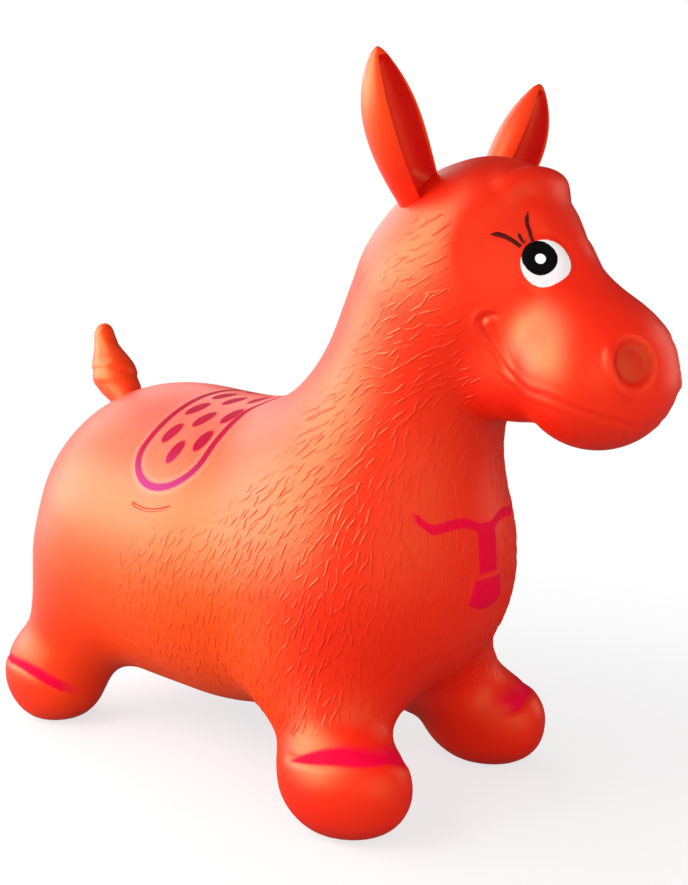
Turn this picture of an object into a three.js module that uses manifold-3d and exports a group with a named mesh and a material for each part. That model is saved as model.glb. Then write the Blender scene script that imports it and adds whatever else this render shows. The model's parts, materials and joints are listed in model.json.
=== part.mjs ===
// Bouncy horse hopper: a hollow inflated vinyl horse that a child sits on, holding the ears.
// The skin is one rotocast moulding. It is modelled here zone by zone, as thin shells round one
// air space, because the ears and the tail bend at their roots. A stopper closes the belly valve.
// Millimetres and degrees. +X points to the nose, +Y to the horse's left, +Z up, soles on z = 0.
import * as THREE from 'three';
import { mergeVertices } from 'three/addons/utils/BufferGeometryUtils.js';
import Module from 'manifold-3d';

const wasm = await Module();
wasm.setup();

// Skin
const WALL = 2; // vinyl thickness
const SEAM = 0.3; // clearance where two zones of the skin meet
const FLEX_GAP = 0.4; // clearance round the ball root of an ear or of the tail
const SOLE_PRESS = 3; // how far the toy's weight flattens each hoof
const AIR_PASSAGE = 10; // bore that lets air from the body into an ear or the tail

// Torso: three swellings along the back
const BELLY_CLEARANCE = 35; // floor to belly
const BARREL_LENGTH = 340;
const BARREL_WIDTH = 252;
const BARREL_HEIGHT = 254;
const RUMP_LENGTH = 196;
const RUMP_WIDTH = 244;
const RUMP_HEIGHT = 236;
const RUMP_BACK = 103; // behind the middle of the barrel
const RUMP_RISE = 8;
const CHEST_LENGTH = 188;
const CHEST_WIDTH = 220;
const CHEST_HEIGHT = 194;
const CHEST_FORWARD = 143; // ahead of the middle of the barrel
const CHEST_RISE = 6;
const TORSO_BLEND = 55; // reach of the soft fillet between two swellings

// Neck
const NECK_BASE_RISE = 87; // above the middle of the chest
const NECK_BASE_RADIUS = 66;
const NECK_LENGTH = 128;
const NECK_LEAN = 28; // forward from upright
const NECK_TOP_RADIUS = 70;
const NECK_BLEND = 80;

// Head
const SKULL_FORWARD = 34; // ahead of the top of the neck
const SKULL_RISE = 34;
const SKULL_LENGTH = 112;
const SKULL_WIDTH = 120;
const SKULL_HEIGHT = 124;
const FACE_LENGTH = 115; // middle of the skull to middle of the muzzle
const FACE_DIP = 43; // down from level
const BRIDGE_RADIUS = 49; // nose bridge at the skull
const BRIDGE_TIP_RADIUS = 37; // and at the muzzle
const MUZZLE_LENGTH = 92;
const MUZZLE_WIDTH = 111;
const MUZZLE_HEIGHT = 91;
const MUZZLE_TILT = 26; // down from level
const HEAD_BLEND = 32;
const NAPE_BLEND = 38;

// Moulded features of the head
const NOSTRIL_TURN = 43; // round from the nose tip
const NOSTRIL_LIFT = 15; // above level, seen from the middle of the muzzle
const NOSTRIL_RADIUS = 11; // middle of the raised rim
const NOSTRIL_RIM = 4; // half thickness of the rim
const NOSTRIL_PRESS = 1.2; // how far the nostril is pressed in
const EYE_TURN = 32; // round from the front of the skull
const EYE_LIFT = -7;
const EYE_MOUND_RADIUS = 24;
const EYE_MOUND_PROUD = 3; // how far the eye stands out
const FORELOCK_LENGTH = 50;
const FORELOCK_WIDTH = 62;
const FORELOCK_HEIGHT = 44;
const FORELOCK_PROUD = 3; // above the crown
const FORELOCK_TURN = 62; // up from the front of the skull

// Legs: each runs from a hip inside the torso to a hoof on the floor
const FRONT_HIP_BACK = 11; // behind the middle of the chest
const FRONT_HIP_INSET = 55; // in from the side of the chest
const FRONT_HIP_DROP = 74; // below the middle of the chest
const FRONT_HIP_RADIUS = 48;
const FRONT_STEP = 43; // hoof ahead of the hip
const FRONT_SPLAY = 30; // hoof outside the hip
const FRONT_HOOF_LENGTH = 112;
const FRONT_HOOF_WIDTH = 76;
const FRONT_HOOF_HEIGHT = 74;
const REAR_HIP_BACK = 20; // behind the middle of the rump
const REAR_HIP_INSET = 52; // in from the side of the rump
const REAR_HIP_DROP = 37; // below the middle of the rump
const REAR_HIP_RADIUS = 41;
const REAR_STEP = -35; // hoof behind the hip
const REAR_SPLAY = 20;
const REAR_HOOF_LENGTH = 92;
const REAR_HOOF_WIDTH = 83;
const REAR_HOOF_HEIGHT = 88;
const PASTERN_SHARE = 0.88; // leg just above the hoof, against the hoof
const HOOF_BLEND = 15;
const LEG_BLEND = 42;

// Ears: the two grips
const EAR_SEAT_TURN = 121; // root of the ear, round from the front of the skull
const EAR_SEAT_LIFT = 29; // and up from level
const EAR_LENGTH = 107; // root to tip
const EAR_WIDTH = 43;
const EAR_ROOT_WIDTH = 30;
const EAR_TIP_WIDTH = 7;
const EAR_WIDEST = 0.4; // share of the length
const EAR_FLATNESS = 0.8; // thickness against width
const EAR_SPLAY = 27; // outwards from upright
const EAR_BALL_RADIUS = 18; // round root that the ear bends on
const EAR_HOLLOW_DEPTH = 10; // scoop of the ear's front
const EAR_HOLLOW_WIDTH = 27;
const EAR_HOLLOW_LENGTH = 84;
const EAR_HOLLOW_BLEND = 7;

// Tail
const TAIL_SEAT_BACK = 31; // root of the tail, back from the top of the rump
const TAIL_LEAN = 29; // backwards from upright
const TAIL_LENGTH = 85; // root to tip
const TAIL_ROOT_RADIUS = 13;
const TAIL_BUN_RADIUS = 20; // lower lock of hair
const TAIL_BUN_HEIGHT = 36;
const TAIL_TUFT_RADIUS = 17; // upper lock of hair
const TAIL_TUFT_HEIGHT = 55;
const TAIL_TIP_RADIUS = 9.5;
const TAIL_SWEEP = 4; // upper lock set back from the lower one
const TAIL_BALL_RADIUS = 15;
const TAIL_BLEND = 5;

// Belly valve
const VALVE_BACK = 30; // behind the middle of the barrel
const VALVE_BORE = 9;
const SEAT_TUBE = 17; // outer diameter of the moulded-in seat
const SEAT_DEPTH = 16;
const SEAT_FLANGE = 32;
const SEAT_FLANGE_THICK = 2.5;
const STOPPER_HEAD = 18;
const STOPPER_HEAD_THICK = 3;
const STOPPER_STEM = 8;
const STOPPER_LENGTH = 18;
const STOPPER_RIB = 8.5;
const STOPPER_RIBS = 2;
const STOPPER_RIB_PITCH = 5;

// Where the skin is parted into zones
const HEAD_PARTING_RISE = 48; // slope of the parting's normal above level
const HEAD_PARTING_BACK = 11; // behind the top of the neck
const LEG_PARTING_RADIUS = 62; // ball round each hoof

// Facets
const TORSO_CELL = 26;
const HEAD_CELL = 17;
const LEG_CELL = 18;
const EAR_CELL = 8.5;
const TAIL_CELL = 8;
const BALL_SEGMENTS = 16;
const LATHE_SEGMENTS = 20;

const VINYL = { color: 0xe8481c, roughness: 0.42, metalness: 0 };
const WHITE_PLASTIC = { color: 0xf2f0ea, roughness: 0.5, metalness: 0 };

const rad = THREE.MathUtils.degToRad;
const vec = (x, y, z) => new THREE.Vector3(x, y, z);

// Unit vector turned from +X towards +Y, then lifted above level.
function heading(turn, lift) {
  const level = Math.cos(rad(lift));
  return vec(level * Math.cos(rad(turn)), level * Math.sin(rad(turn)), Math.sin(rad(lift)));
}

// Blended forms. A form has a distance, negative inside, and the box that it fills.

const form = (distance, box) => ({ distance, box });
const boxAround = (centre, reach) => new THREE.Box3(centre.clone().sub(reach), centre.clone().add(reach));

// Ellipsoid of three full sizes, its nose dipped by tilt degrees.
function ellipsoid(centre, length, width, height, tilt = 0) {
  const [a, b, c] = [length / 2, width / 2, height / 2];
  const [cos, sin] = [Math.cos(rad(tilt)), Math.sin(rad(tilt))];
  const reach = Math.max(a, c);
  return form((x, y, z) => {
    const [px, py, pz] = [x - centre.x, y - centre.y, z - centre.z];
    const [u, v, w] = [cos * px - sin * pz, py, sin * px + cos * pz];
    const k0 = Math.hypot(u / a, v / b, w / c);
    const k1 = Math.hypot(u / (a * a), v / (b * b), w / (c * c));
    return (k0 * (k0 - 1)) / Math.max(k1, 1e-9);
  }, boxAround(centre, vec(reach, b, reach)));
}

// Round cone: the hull of a ball at one end and a ball at the other.
function roundCone(from, to, radiusFrom, radiusTo) {
  const axis = to.clone().sub(from);
  const length2 = axis.lengthSq();
  const taper = radiusFrom - radiusTo;
  const slant2 = length2 - taper * taper;
  const point = vec(0, 0, 0);
  return form((x, y, z) => {
    point.set(x, y, z).sub(from);
    const along = point.dot(axis);
    const beyond = along - length2;
    const across2 = point.multiplyScalar(length2).addScaledVector(axis, -along).lengthSq();
    const along2 = along * along * length2;
    const beyond2 = beyond * beyond * length2;
    const edge = Math.sign(taper) * taper * taper * across2;
    if (Math.sign(beyond) * slant2 * beyond2 > edge) return Math.sqrt(across2 + beyond2) / length2 - radiusTo;
    if (Math.sign(along) * slant2 * along2 < edge) return Math.sqrt(across2 + along2) / length2 - radiusFrom;
    return (Math.sqrt((across2 * slant2) / length2) + along * taper) / length2 - radiusFrom;
  }, boxAround(from, vec(radiusFrom, radiusFrom, radiusFrom)).union(
    boxAround(to, vec(radiusTo, radiusTo, radiusTo))));
}

// Lower of two distances, rounded over where they come within reach of each other.
function softMin(a, b, reach) {
  const near = Math.max(reach - Math.abs(a - b), 0);
  return Math.min(a, b) - (near * near) / (4 * reach);
}

const blend = (reach, ...forms) => forms.reduce((one, two) => form(
  (x, y, z) => softMin(one.distance(x, y, z), two.distance(x, y, z), reach),
  one.box.clone().union(two.box)));

const carve = (reach, one, two) =>
  form((x, y, z) => -softMin(-one.distance(x, y, z), two.distance(x, y, z), reach), one.box);

// A form on the left side, repeated on the right.
const bothSides = (one) => form((x, y, z) => one.distance(x, Math.abs(y), z),
  one.box.clone().union(new THREE.Box3(
    vec(one.box.min.x, -one.box.max.y, one.box.min.z), vec(one.box.max.x, -one.box.min.y, one.box.max.z))));

// Point where a ray from inside a form comes out through its surface.
function surfacePoint(one, from, direction, furthest = 1000) {
  let [near, far] = [0, furthest];
  for (let halving = 0; halving < 50; halving++) {
    const middle = (near + far) / 2;
    const p = from.clone().addScaledVector(direction, middle);
    if (one.distance(p.x, p.y, p.z) < 0) near = middle;
    else far = middle;
  }
  return from.clone().addScaledVector(direction, near);
}

function slope(one, p, step = 0.01) {
  const difference = (dx, dy, dz) =>
    one.distance(p.x + dx, p.y + dy, p.z + dz) - one.distance(p.x - dx, p.y - dy, p.z - dz);
  return vec(difference(step, 0, 0), difference(0, step, 0), difference(0, 0, step)).divideScalar(2 * step);
}

// Draws a point along the slope of a form to a depth below its surface.
function drawnTo(one, p, depth) {
  for (let pass = 0; pass < 5; pass++) {
    const steep = slope(one, p);
    p.addScaledVector(steep, -(one.distance(p.x, p.y, p.z) + depth) / Math.max(steep.lengthSq(), 0.1));
  }
  return p;
}

// Closed mesh of a form: one vertex in each grid cell that the surface crosses, drawn onto the
// surface, and one quad round each grid edge that the surface cuts. With a depth, the same mesh
// is drawn in by that much, so that a wall between the two keeps its thickness.
function skinOf(one, cell, depth = 0) {
  const margin = 2 * cell;
  const size = one.box.getSize(vec(0, 0, 0)).addScalar(2 * margin);
  const [nx, ny, nz] = [size.x, size.y, size.z].map((s) => 2 * Math.ceil(s / cell / 2));
  const centre = one.box.getCenter(vec(0, 0, 0));
  const low = centre.clone().sub(vec(nx, ny, nz).multiplyScalar(cell / 2));
  const corner = (i, j, k) => vec(low.x + i * cell, low.y + j * cell, low.z + k * cell);
  const cornerIndex = (i, j, k) => (k * (ny + 1) + j) * (nx + 1) + i;
  const values = new Float64Array((nx + 1) * (ny + 1) * (nz + 1));
  for (let k = 0; k <= nz; k++)
    for (let j = 0; j <= ny; j++)
      for (let i = 0; i <= nx; i++) {
        const p = corner(i, j, k);
        values[cornerIndex(i, j, k)] = one.distance(p.x, p.y, p.z);
      }

  const positions = [];
  const vertexOfCell = new Map();
  const edges = [];
  for (const [dx, dy, dz] of [[1, 0, 0], [0, 1, 0], [0, 0, 1]])
    for (let a = 0; a < 2; a++)
      for (let b = 0; b < 2; b++) {
        const start = dx ? [0, a, b] : dy ? [a, 0, b] : [a, b, 0];
        edges.push([start, [start[0] + dx, start[1] + dy, start[2] + dz]]);
      }
  for (let k = 0; k < nz; k++)
    for (let j = 0; j < ny; j++)
      for (let i = 0; i < nx; i++) {
        const crossing = vec(0, 0, 0);
        let count = 0;
        for (const [[ai, aj, ak], [bi, bj, bk]] of edges) {
          const va = values[cornerIndex(i + ai, j + aj, k + ak)];
          const vb = values[cornerIndex(i + bi, j + bj, k + bk)];
          if (va < 0 === vb < 0) continue;
          crossing.add(corner(i + ai, j + aj, k + ak).lerp(corner(i + bi, j + bj, k + bk), va / (va - vb)));
          count++;
        }
        if (!count) continue;
        const anchor = crossing.divideScalar(count);
        const p = drawnTo(one, anchor.clone(), 0).sub(anchor).clampLength(0, cell / 2).add(anchor);
        if (depth > 0) drawnTo(one, p, depth);
        vertexOfCell.set(cornerIndex(i, j, k), positions.length / 3);
        positions.push(p.x, p.y, p.z);
      }

  const triangles = [];
  const at = (i, j, k) => vertexOfCell.get(cornerIndex(i, j, k));
  const gap = (a, b) => Math.hypot(...[0, 1, 2].map((n) => positions[3 * a + n] - positions[3 * b + n]));
  function quad(a, b, c, d, turned) {
    const [p, q, r, s] = turned ? [a, d, c, b] : [a, b, c, d];
    if (gap(p, r) < gap(q, s)) triangles.push(p, q, r, p, r, s);
    else triangles.push(p, q, s, q, r, s);
  }
  for (let k = 1; k < nz; k++)
    for (let j = 1; j < ny; j++)
      for (let i = 1; i < nx; i++) {
        const inside = values[cornerIndex(i, j, k)] < 0;
        if (inside !== values[cornerIndex(i + 1, j, k)] < 0)
          quad(at(i, j - 1, k - 1), at(i, j, k - 1), at(i, j, k), at(i, j - 1, k), !inside);
        if (inside !== values[cornerIndex(i, j + 1, k)] < 0)
          quad(at(i - 1, j, k - 1), at(i - 1, j, k), at(i, j, k), at(i, j, k - 1), !inside);
        if (inside !== values[cornerIndex(i, j, k + 1)] < 0)
          quad(at(i - 1, j - 1, k), at(i, j - 1, k), at(i, j, k), at(i - 1, j, k), !inside);
      }
  return new wasm.Manifold(new wasm.Mesh({
    numProp: 3, vertProperties: new Float32Array(positions), triVerts: new Uint32Array(triangles) }));
}

// Solids from three.js geometry, and back.

function solidOf(geometry) {
  const bare = geometry.clone();
  bare.deleteAttribute('normal');
  bare.deleteAttribute('uv');
  const merged = mergeVertices(bare, 1e-4);
  return new wasm.Manifold(new wasm.Mesh({
    numProp: 3,
    vertProperties: new Float32Array(merged.attributes.position.array),
    triVerts: new Uint32Array(merged.index.array),
  }));
}

function geometryOf(solid) {
  const mesh = solid.getMesh();
  const geometry = new THREE.BufferGeometry();
  geometry.setAttribute('position', new THREE.BufferAttribute(new Float32Array(mesh.vertProperties), 3));
  geometry.setIndex(new THREE.BufferAttribute(new Uint32Array(mesh.triVerts), 1));
  geometry.computeVertexNormals();
  return geometry;
}

const ball = (centre, radius) => solidOf(
  new THREE.SphereGeometry(radius, BALL_SEGMENTS, BALL_SEGMENTS / 2).translate(centre.x, centre.y, centre.z));

// Ball whose flat facets also keep outside a radius, for a cup round another ball.
const cup = (centre, radius) => ball(centre, radius / Math.cos(Math.PI / BALL_SEGMENTS) ** 2);

// Turns +Z to a direction, about a point.
const facing = (geometry, point, direction) => geometry
  .applyQuaternion(new THREE.Quaternion().setFromUnitVectors(vec(0, 0, 1), direction))
  .translate(point.x, point.y, point.z);

// Everything ahead of a plane, as one large block.
const HALF_SPACE = 3000;
function ahead(point, direction) {
  const block = new THREE.BoxGeometry(HALF_SPACE, HALF_SPACE, HALF_SPACE);
  return solidOf(facing(block.translate(0, 0, HALF_SPACE / 2), point, direction));
}

// Rod along a direction, from one distance to another.
const rod = (point, direction, diameter, from, to) => solidOf(facing(
  new THREE.CylinderGeometry(diameter / 2, diameter / 2, to - from, BALL_SEGMENTS)
    .rotateX(Math.PI / 2).translate(0, 0, (from + to) / 2), point, direction));

// The horse without its ears and tail.

const barrelMiddle = vec(0, 0, BELLY_CLEARANCE + BARREL_HEIGHT / 2);
const rumpMiddle = barrelMiddle.clone().add(vec(-RUMP_BACK, 0, RUMP_RISE));
const chestMiddle = barrelMiddle.clone().add(vec(CHEST_FORWARD, 0, CHEST_RISE));
const neckAxis = vec(Math.sin(rad(NECK_LEAN)), 0, Math.cos(rad(NECK_LEAN)));
const neckBase = chestMiddle.clone().add(vec(0, 0, NECK_BASE_RISE));
const neckTop = neckBase.clone().addScaledVector(neckAxis, NECK_LENGTH);
const skullMiddle = neckTop.clone().add(vec(SKULL_FORWARD, 0, SKULL_RISE));
const muzzleMiddle = skullMiddle.clone().addScaledVector(heading(0, -FACE_DIP), FACE_LENGTH);

const torso = blend(TORSO_BLEND,
  ellipsoid(barrelMiddle, BARREL_LENGTH, BARREL_WIDTH, BARREL_HEIGHT),
  ellipsoid(rumpMiddle, RUMP_LENGTH, RUMP_WIDTH, RUMP_HEIGHT),
  ellipsoid(chestMiddle, CHEST_LENGTH, CHEST_WIDTH, CHEST_HEIGHT));
const neck = roundCone(neckBase, neckTop, NECK_BASE_RADIUS, NECK_TOP_RADIUS);
const head = blend(HEAD_BLEND,
  ellipsoid(skullMiddle, SKULL_LENGTH, SKULL_WIDTH, SKULL_HEIGHT),
  roundCone(skullMiddle, muzzleMiddle, BRIDGE_RADIUS, BRIDGE_TIP_RADIUS),
  ellipsoid(muzzleMiddle, MUZZLE_LENGTH, MUZZLE_WIDTH, MUZZLE_HEIGHT, MUZZLE_TILT));

const hoofMiddle = (hip, step, splay, height) => vec(hip.x + step, hip.y + splay, height / 2 - SOLE_PRESS);

function legForm(hip, hipRadius, hoof, length, width, height) {
  const pastern = (PASTERN_SHARE * Math.min(length, width, height)) / 2;
  return bothSides(blend(HOOF_BLEND,
    roundCone(hip, hoof, hipRadius, pastern),
    ellipsoid(hoof, length, width, height)));
}

const frontHip = chestMiddle.clone()
  .add(vec(-FRONT_HIP_BACK, CHEST_WIDTH / 2 - FRONT_HIP_INSET, -FRONT_HIP_DROP));
const rearHip = rumpMiddle.clone()
  .add(vec(-REAR_HIP_BACK, RUMP_WIDTH / 2 - REAR_HIP_INSET, -REAR_HIP_DROP));
const frontHoof = hoofMiddle(frontHip, FRONT_STEP, FRONT_SPLAY, FRONT_HOOF_HEIGHT);
const rearHoof = hoofMiddle(rearHip, REAR_STEP, REAR_SPLAY, REAR_HOOF_HEIGHT);

const horse = blend(LEG_BLEND,
  blend(NAPE_BLEND, blend(NECK_BLEND, torso, neck), head),
  legForm(frontHip, FRONT_HIP_RADIUS, frontHoof, FRONT_HOOF_LENGTH, FRONT_HOOF_WIDTH, FRONT_HOOF_HEIGHT),
  legForm(rearHip, REAR_HIP_RADIUS, rearHoof, REAR_HOOF_LENGTH, REAR_HOOF_WIDTH, REAR_HOOF_HEIGHT));

// Seats of the bending parts: a ball root in a cup of the skin.
const earAxis = vec(0, Math.sin(rad(EAR_SPLAY)), Math.cos(rad(EAR_SPLAY)));
const tailAxis = vec(-Math.sin(rad(TAIL_LEAN)), 0, Math.cos(rad(TAIL_LEAN)));
const earSeat = surfacePoint(horse, skullMiddle, heading(EAR_SEAT_TURN, EAR_SEAT_LIFT));
const tailSeat = surfacePoint(horse, rumpMiddle, heading(180, 90 - TAIL_SEAT_BACK));
const mirrored = (v) => vec(v.x, -v.y, v.z);
const seats = [
  { point: earSeat, axis: earAxis, radius: EAR_BALL_RADIUS },
  { point: mirrored(earSeat), axis: mirrored(earAxis), radius: EAR_BALL_RADIUS },
  { point: tailSeat, axis: tailAxis, radius: TAIL_BALL_RADIUS },
];

// Nostrils, eye mounds and the forelock between the ears: what is raised on the head and pressed in.
function faceFeatures() {
  const nostril = surfacePoint(horse, muzzleMiddle, heading(NOSTRIL_TURN, NOSTRIL_LIFT));
  const nostrilWay = slope(horse, nostril).normalize();
  const press = nostril.clone().addScaledVector(nostrilWay, NOSTRIL_RADIUS - NOSTRIL_PRESS);
  const eye = surfacePoint(horse, skullMiddle, heading(EYE_TURN, EYE_LIFT));
  const mound = eye.clone()
    .addScaledVector(slope(horse, eye).normalize(), EYE_MOUND_PROUD - EYE_MOUND_RADIUS);
  const crownWay = heading(0, FORELOCK_TURN);
  const tuft = surfacePoint(horse, skullMiddle, crownWay)
    .addScaledVector(crownWay, FORELOCK_PROUD - FORELOCK_HEIGHT / 2);
  const lock = new THREE.SphereGeometry(0.5, BALL_SEGMENTS, BALL_SEGMENTS / 2)
    .scale(FORELOCK_LENGTH, FORELOCK_WIDTH, FORELOCK_HEIGHT);
  const features = { raised: [solidOf(facing(lock, tuft, crownWay))], pressed: [] };
  for (const side of [(v) => v, mirrored]) {
    const rim = new THREE.TorusGeometry(NOSTRIL_RADIUS, NOSTRIL_RIM, 8, BALL_SEGMENTS);
    features.raised.push(solidOf(facing(rim, side(nostril), side(nostrilWay))));
    features.raised.push(ball(side(mound), EYE_MOUND_RADIUS));
    features.pressed.push(ball(side(press), NOSTRIL_RADIUS));
  }
  return features;
}

// The whole hollow skin, in facets of one size, with its cups and flattened soles.
function hollowSkin(cell, { raised, pressed } = { raised: [], pressed: [] }) {
  const up = vec(0, 0, 1);
  let outside = skinOf(horse, cell).intersect(ahead(vec(0, 0, 0), up));
  outside = raised.reduce((solid, feature) => solid.add(feature), outside);
  outside = pressed.reduce((solid, feature) => solid.subtract(feature), outside);
  let inside = skinOf(horse, cell, WALL).intersect(ahead(vec(0, 0, WALL), up));
  for (const { point, radius } of seats) {
    outside = outside.subtract(cup(point, radius + FLEX_GAP));
    inside = inside.subtract(cup(point, radius + FLEX_GAP + WALL));
  }
  const passages = seats.map(({ point, axis, radius }) =>
    rod(point, axis, AIR_PASSAGE, -2 * radius, 0));
  return passages.reduce((skin, passage) => skin.subtract(passage), outside.subtract(inside));
}

// Zones of the skin.

const headPartingWay = heading(0, HEAD_PARTING_RISE);
const headParting = neckTop.clone().addScaledVector(headPartingWay, -HEAD_PARTING_BACK);
const beyondParting = (point, direction, offset) =>
  ahead(point.clone().addScaledVector(direction, offset), direction);

// The valve seat's flange lies on the inside of the skin, level with the highest place under its rim.
const valveAbove = barrelMiddle.clone().add(vec(-VALVE_BACK, 0, 0));
const belly = (dx, dy) => surfacePoint(horse, valveAbove.clone().add(vec(dx, dy, 0)), vec(0, 0, -1));
const valvePoint = belly(0, 0);
const rimReach = SEAT_FLANGE / 2;
const flangeRise = WALL - valvePoint.z
  + Math.max(...[belly(rimReach, 0), belly(-rimReach, 0), belly(0, rimReach)].map((p) => p.z));

const coarseSkin = hollowSkin(TORSO_CELL);
const legSkin = hollowSkin(LEG_CELL);
const headZone = hollowSkin(HEAD_CELL, faceFeatures())
  .intersect(beyondParting(headParting, headPartingWay, SEAM / 2));
const neckZone = coarseSkin
  .intersect(beyondParting(neckBase, neckAxis, SEAM / 2))
  .subtract(beyondParting(headParting, headPartingWay, -SEAM / 2));
const legZone = (hoof) => legSkin.intersect(ball(hoof, LEG_PARTING_RADIUS));
const hooves = [frontHoof, rearHoof].flatMap((hoof) => [hoof, mirrored(hoof)]);
const torsoZone = hooves
  .reduce((skin, hoof) => skin.subtract(ball(hoof, LEG_PARTING_RADIUS + SEAM)), coarseSkin)
  .subtract(beyondParting(neckBase, neckAxis, -SEAM / 2))
  .subtract(rod(valvePoint, vec(0, 0, 1), SEAT_TUBE + 2 * SEAM, -SEAT_DEPTH, SEAT_DEPTH))
  .subtract(rod(valvePoint, vec(0, 0, 1), SEAT_FLANGE + 2 * SEAM, flangeRise, SEAT_DEPTH));

// Ear, upright on its root with its scooped face to +X: a leaf on a ball, hollow to the passage.
function earSolid() {
  const halfWidth = (share) => (share < EAR_WIDEST
    ? EAR_ROOT_WIDTH + (EAR_WIDTH - EAR_ROOT_WIDTH) * Math.sin((Math.PI / 2) * (share / EAR_WIDEST))
    : EAR_TIP_WIDTH + (EAR_WIDTH - EAR_TIP_WIDTH)
      * Math.cos((Math.PI / 2) * ((share - EAR_WIDEST) / (1 - EAR_WIDEST)))) / 2;
  const leaf = form((x, y, z) => {
    const share = THREE.MathUtils.clamp(z / EAR_LENGTH, 0, 1);
    return Math.hypot(x / EAR_FLATNESS, y, z - share * EAR_LENGTH) - halfWidth(share);
  }, new THREE.Box3(
    vec(-EAR_WIDTH / 2, -EAR_WIDTH / 2, -EAR_ROOT_WIDTH),
    vec(EAR_WIDTH / 2, EAR_WIDTH / 2, EAR_LENGTH)));
  const front = (EAR_WIDTH * EAR_FLATNESS) / 2;
  const hollow = ellipsoid(vec(front, 0, EAR_WIDEST * EAR_LENGTH + EAR_HOLLOW_DEPTH / 2),
    2 * EAR_HOLLOW_DEPTH, EAR_HOLLOW_WIDTH, EAR_HOLLOW_LENGTH);
  const grip = carve(EAR_HOLLOW_BLEND, leaf, hollow);
  const origin = vec(0, 0, 0);
  return skinOf(grip, EAR_CELL)
    .add(ball(origin, EAR_BALL_RADIUS))
    .subtract(skinOf(grip, EAR_CELL, WALL))
    .subtract(rod(origin, vec(0, 0, 1), AIR_PASSAGE, -2 * EAR_BALL_RADIUS, 0));
}

// Tail, upright on its root: two locks of hair, one above the other.
function tailSolid() {
  const bun = vec(0, 0, TAIL_BUN_HEIGHT);
  const tuft = vec(-TAIL_SWEEP, 0, TAIL_TUFT_HEIGHT);
  const tip = vec(0, 0, TAIL_LENGTH - TAIL_TIP_RADIUS);
  const origin = vec(0, 0, 0);
  const locks = blend(TAIL_BLEND,
    roundCone(origin, bun, TAIL_ROOT_RADIUS, TAIL_BUN_RADIUS),
    roundCone(tuft, tip, TAIL_TUFT_RADIUS, TAIL_TIP_RADIUS));
  return skinOf(locks, TAIL_CELL)
    .add(ball(origin, TAIL_BALL_RADIUS))
    .subtract(skinOf(locks, TAIL_CELL, WALL))
    .subtract(rod(origin, vec(0, 0, 1), AIR_PASSAGE, -2 * TAIL_BALL_RADIUS, 0));
}

// Belly valve, turned about the vertical through the valve point, with z up from the skin's outside.
const turned = (profile) => new THREE.LatheGeometry(
  profile.map(([radius, height]) => new THREE.Vector2(radius, height)), LATHE_SEGMENTS).rotateX(Math.PI / 2);

function valveSeat() {
  const [bore, tube] = [VALVE_BORE / 2, SEAT_TUBE / 2];
  const flange = flangeRise + SEAM;
  const top = flange + SEAT_FLANGE_THICK;
  return turned([[bore, 0], [tube, 0], [tube, flange], [rimReach, flange], [rimReach, top], [tube, top],
    [tube, SEAT_DEPTH], [bore, SEAT_DEPTH], [bore, 0]]);
}

// The stopper's domed head closes on the seat, and its ribbed stem fills the bore.
function valveStopper() {
  const [head, stem, rib] = [STOPPER_HEAD / 2, STOPPER_STEM / 2, STOPPER_RIB / 2];
  const half = STOPPER_RIB_PITCH / 4;
  const profile = [[0, -STOPPER_HEAD_THICK - SEAM], [0.6 * head, -STOPPER_HEAD_THICK - SEAM],
    [head, -0.5 * STOPPER_HEAD_THICK - SEAM], [head, -SEAM], [stem, -SEAM]];
  for (let n = 1; n <= STOPPER_RIBS; n++) {
    const height = n * STOPPER_RIB_PITCH;
    profile.push([stem, height - half], [rib, height], [stem, height + half]);
  }
  profile.push([stem, STOPPER_LENGTH - 1], [stem - 1, STOPPER_LENGTH], [0, STOPPER_LENGTH]);
  return turned(profile);
}

// Assembly.

const toy = new THREE.Group();
toy.name = 'bouncy_horse_hopper';

function add(name, geometry, look, parent = toy) {
  const mesh = new THREE.Mesh(geometry, new THREE.MeshStandardMaterial(look));
  mesh.name = name;
  parent.add(mesh);
  return mesh;
}

add('torso_skin', geometryOf(torsoZone), VINYL);
add('neck_skin', geometryOf(neckZone), VINYL);
add('head_skin', geometryOf(headZone), VINYL);
for (const [name, hoof] of [['front', frontHoof], ['rear', rearHoof]]) {
  const leg = geometryOf(legZone(hoof));
  add(`${name}_left_leg`, leg, VINYL);
  add(`${name}_right_leg`, leg, VINYL).scale.y = -1;
}

const ear = geometryOf(earSolid());
for (const [name, side] of [['left_ear', 1], ['right_ear', -1]]) {
  const root = new THREE.Group();
  root.position.set(earSeat.x, side * earSeat.y, earSeat.z);
  root.rotation.x = -side * rad(EAR_SPLAY);
  add(name, ear, VINYL, root);
  toy.add(root);
}

const tailRoot = new THREE.Group();
tailRoot.position.copy(tailSeat);
tailRoot.rotation.y = -rad(TAIL_LEAN);
add('tail', geometryOf(tailSolid()), VINYL, tailRoot);
toy.add(tailRoot);

const valve = new THREE.Group();
valve.position.copy(valvePoint);
add('valve_seat', valveSeat(), VINYL, valve);
add('valve_stopper', valveStopper(), WHITE_PLASTIC, valve);
toy.add(valve);

// The toy's own frame has its origin on the floor, under the middle of its length.
const extent = new THREE.Box3().setFromObject(toy, true);
toy.position.x = -(extent.min.x + extent.max.x) / 2;

export default toy;
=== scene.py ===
"""Bouncy horse hopper: an inflated vinyl horse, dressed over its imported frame.

Shapes are worked out in millimetres, with x measured forward from the middle of the barrel, y to the
horse's left and z up from the floor, and are put into the frame in metres.
"""
import json
import math
from functools import partialmethod

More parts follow.
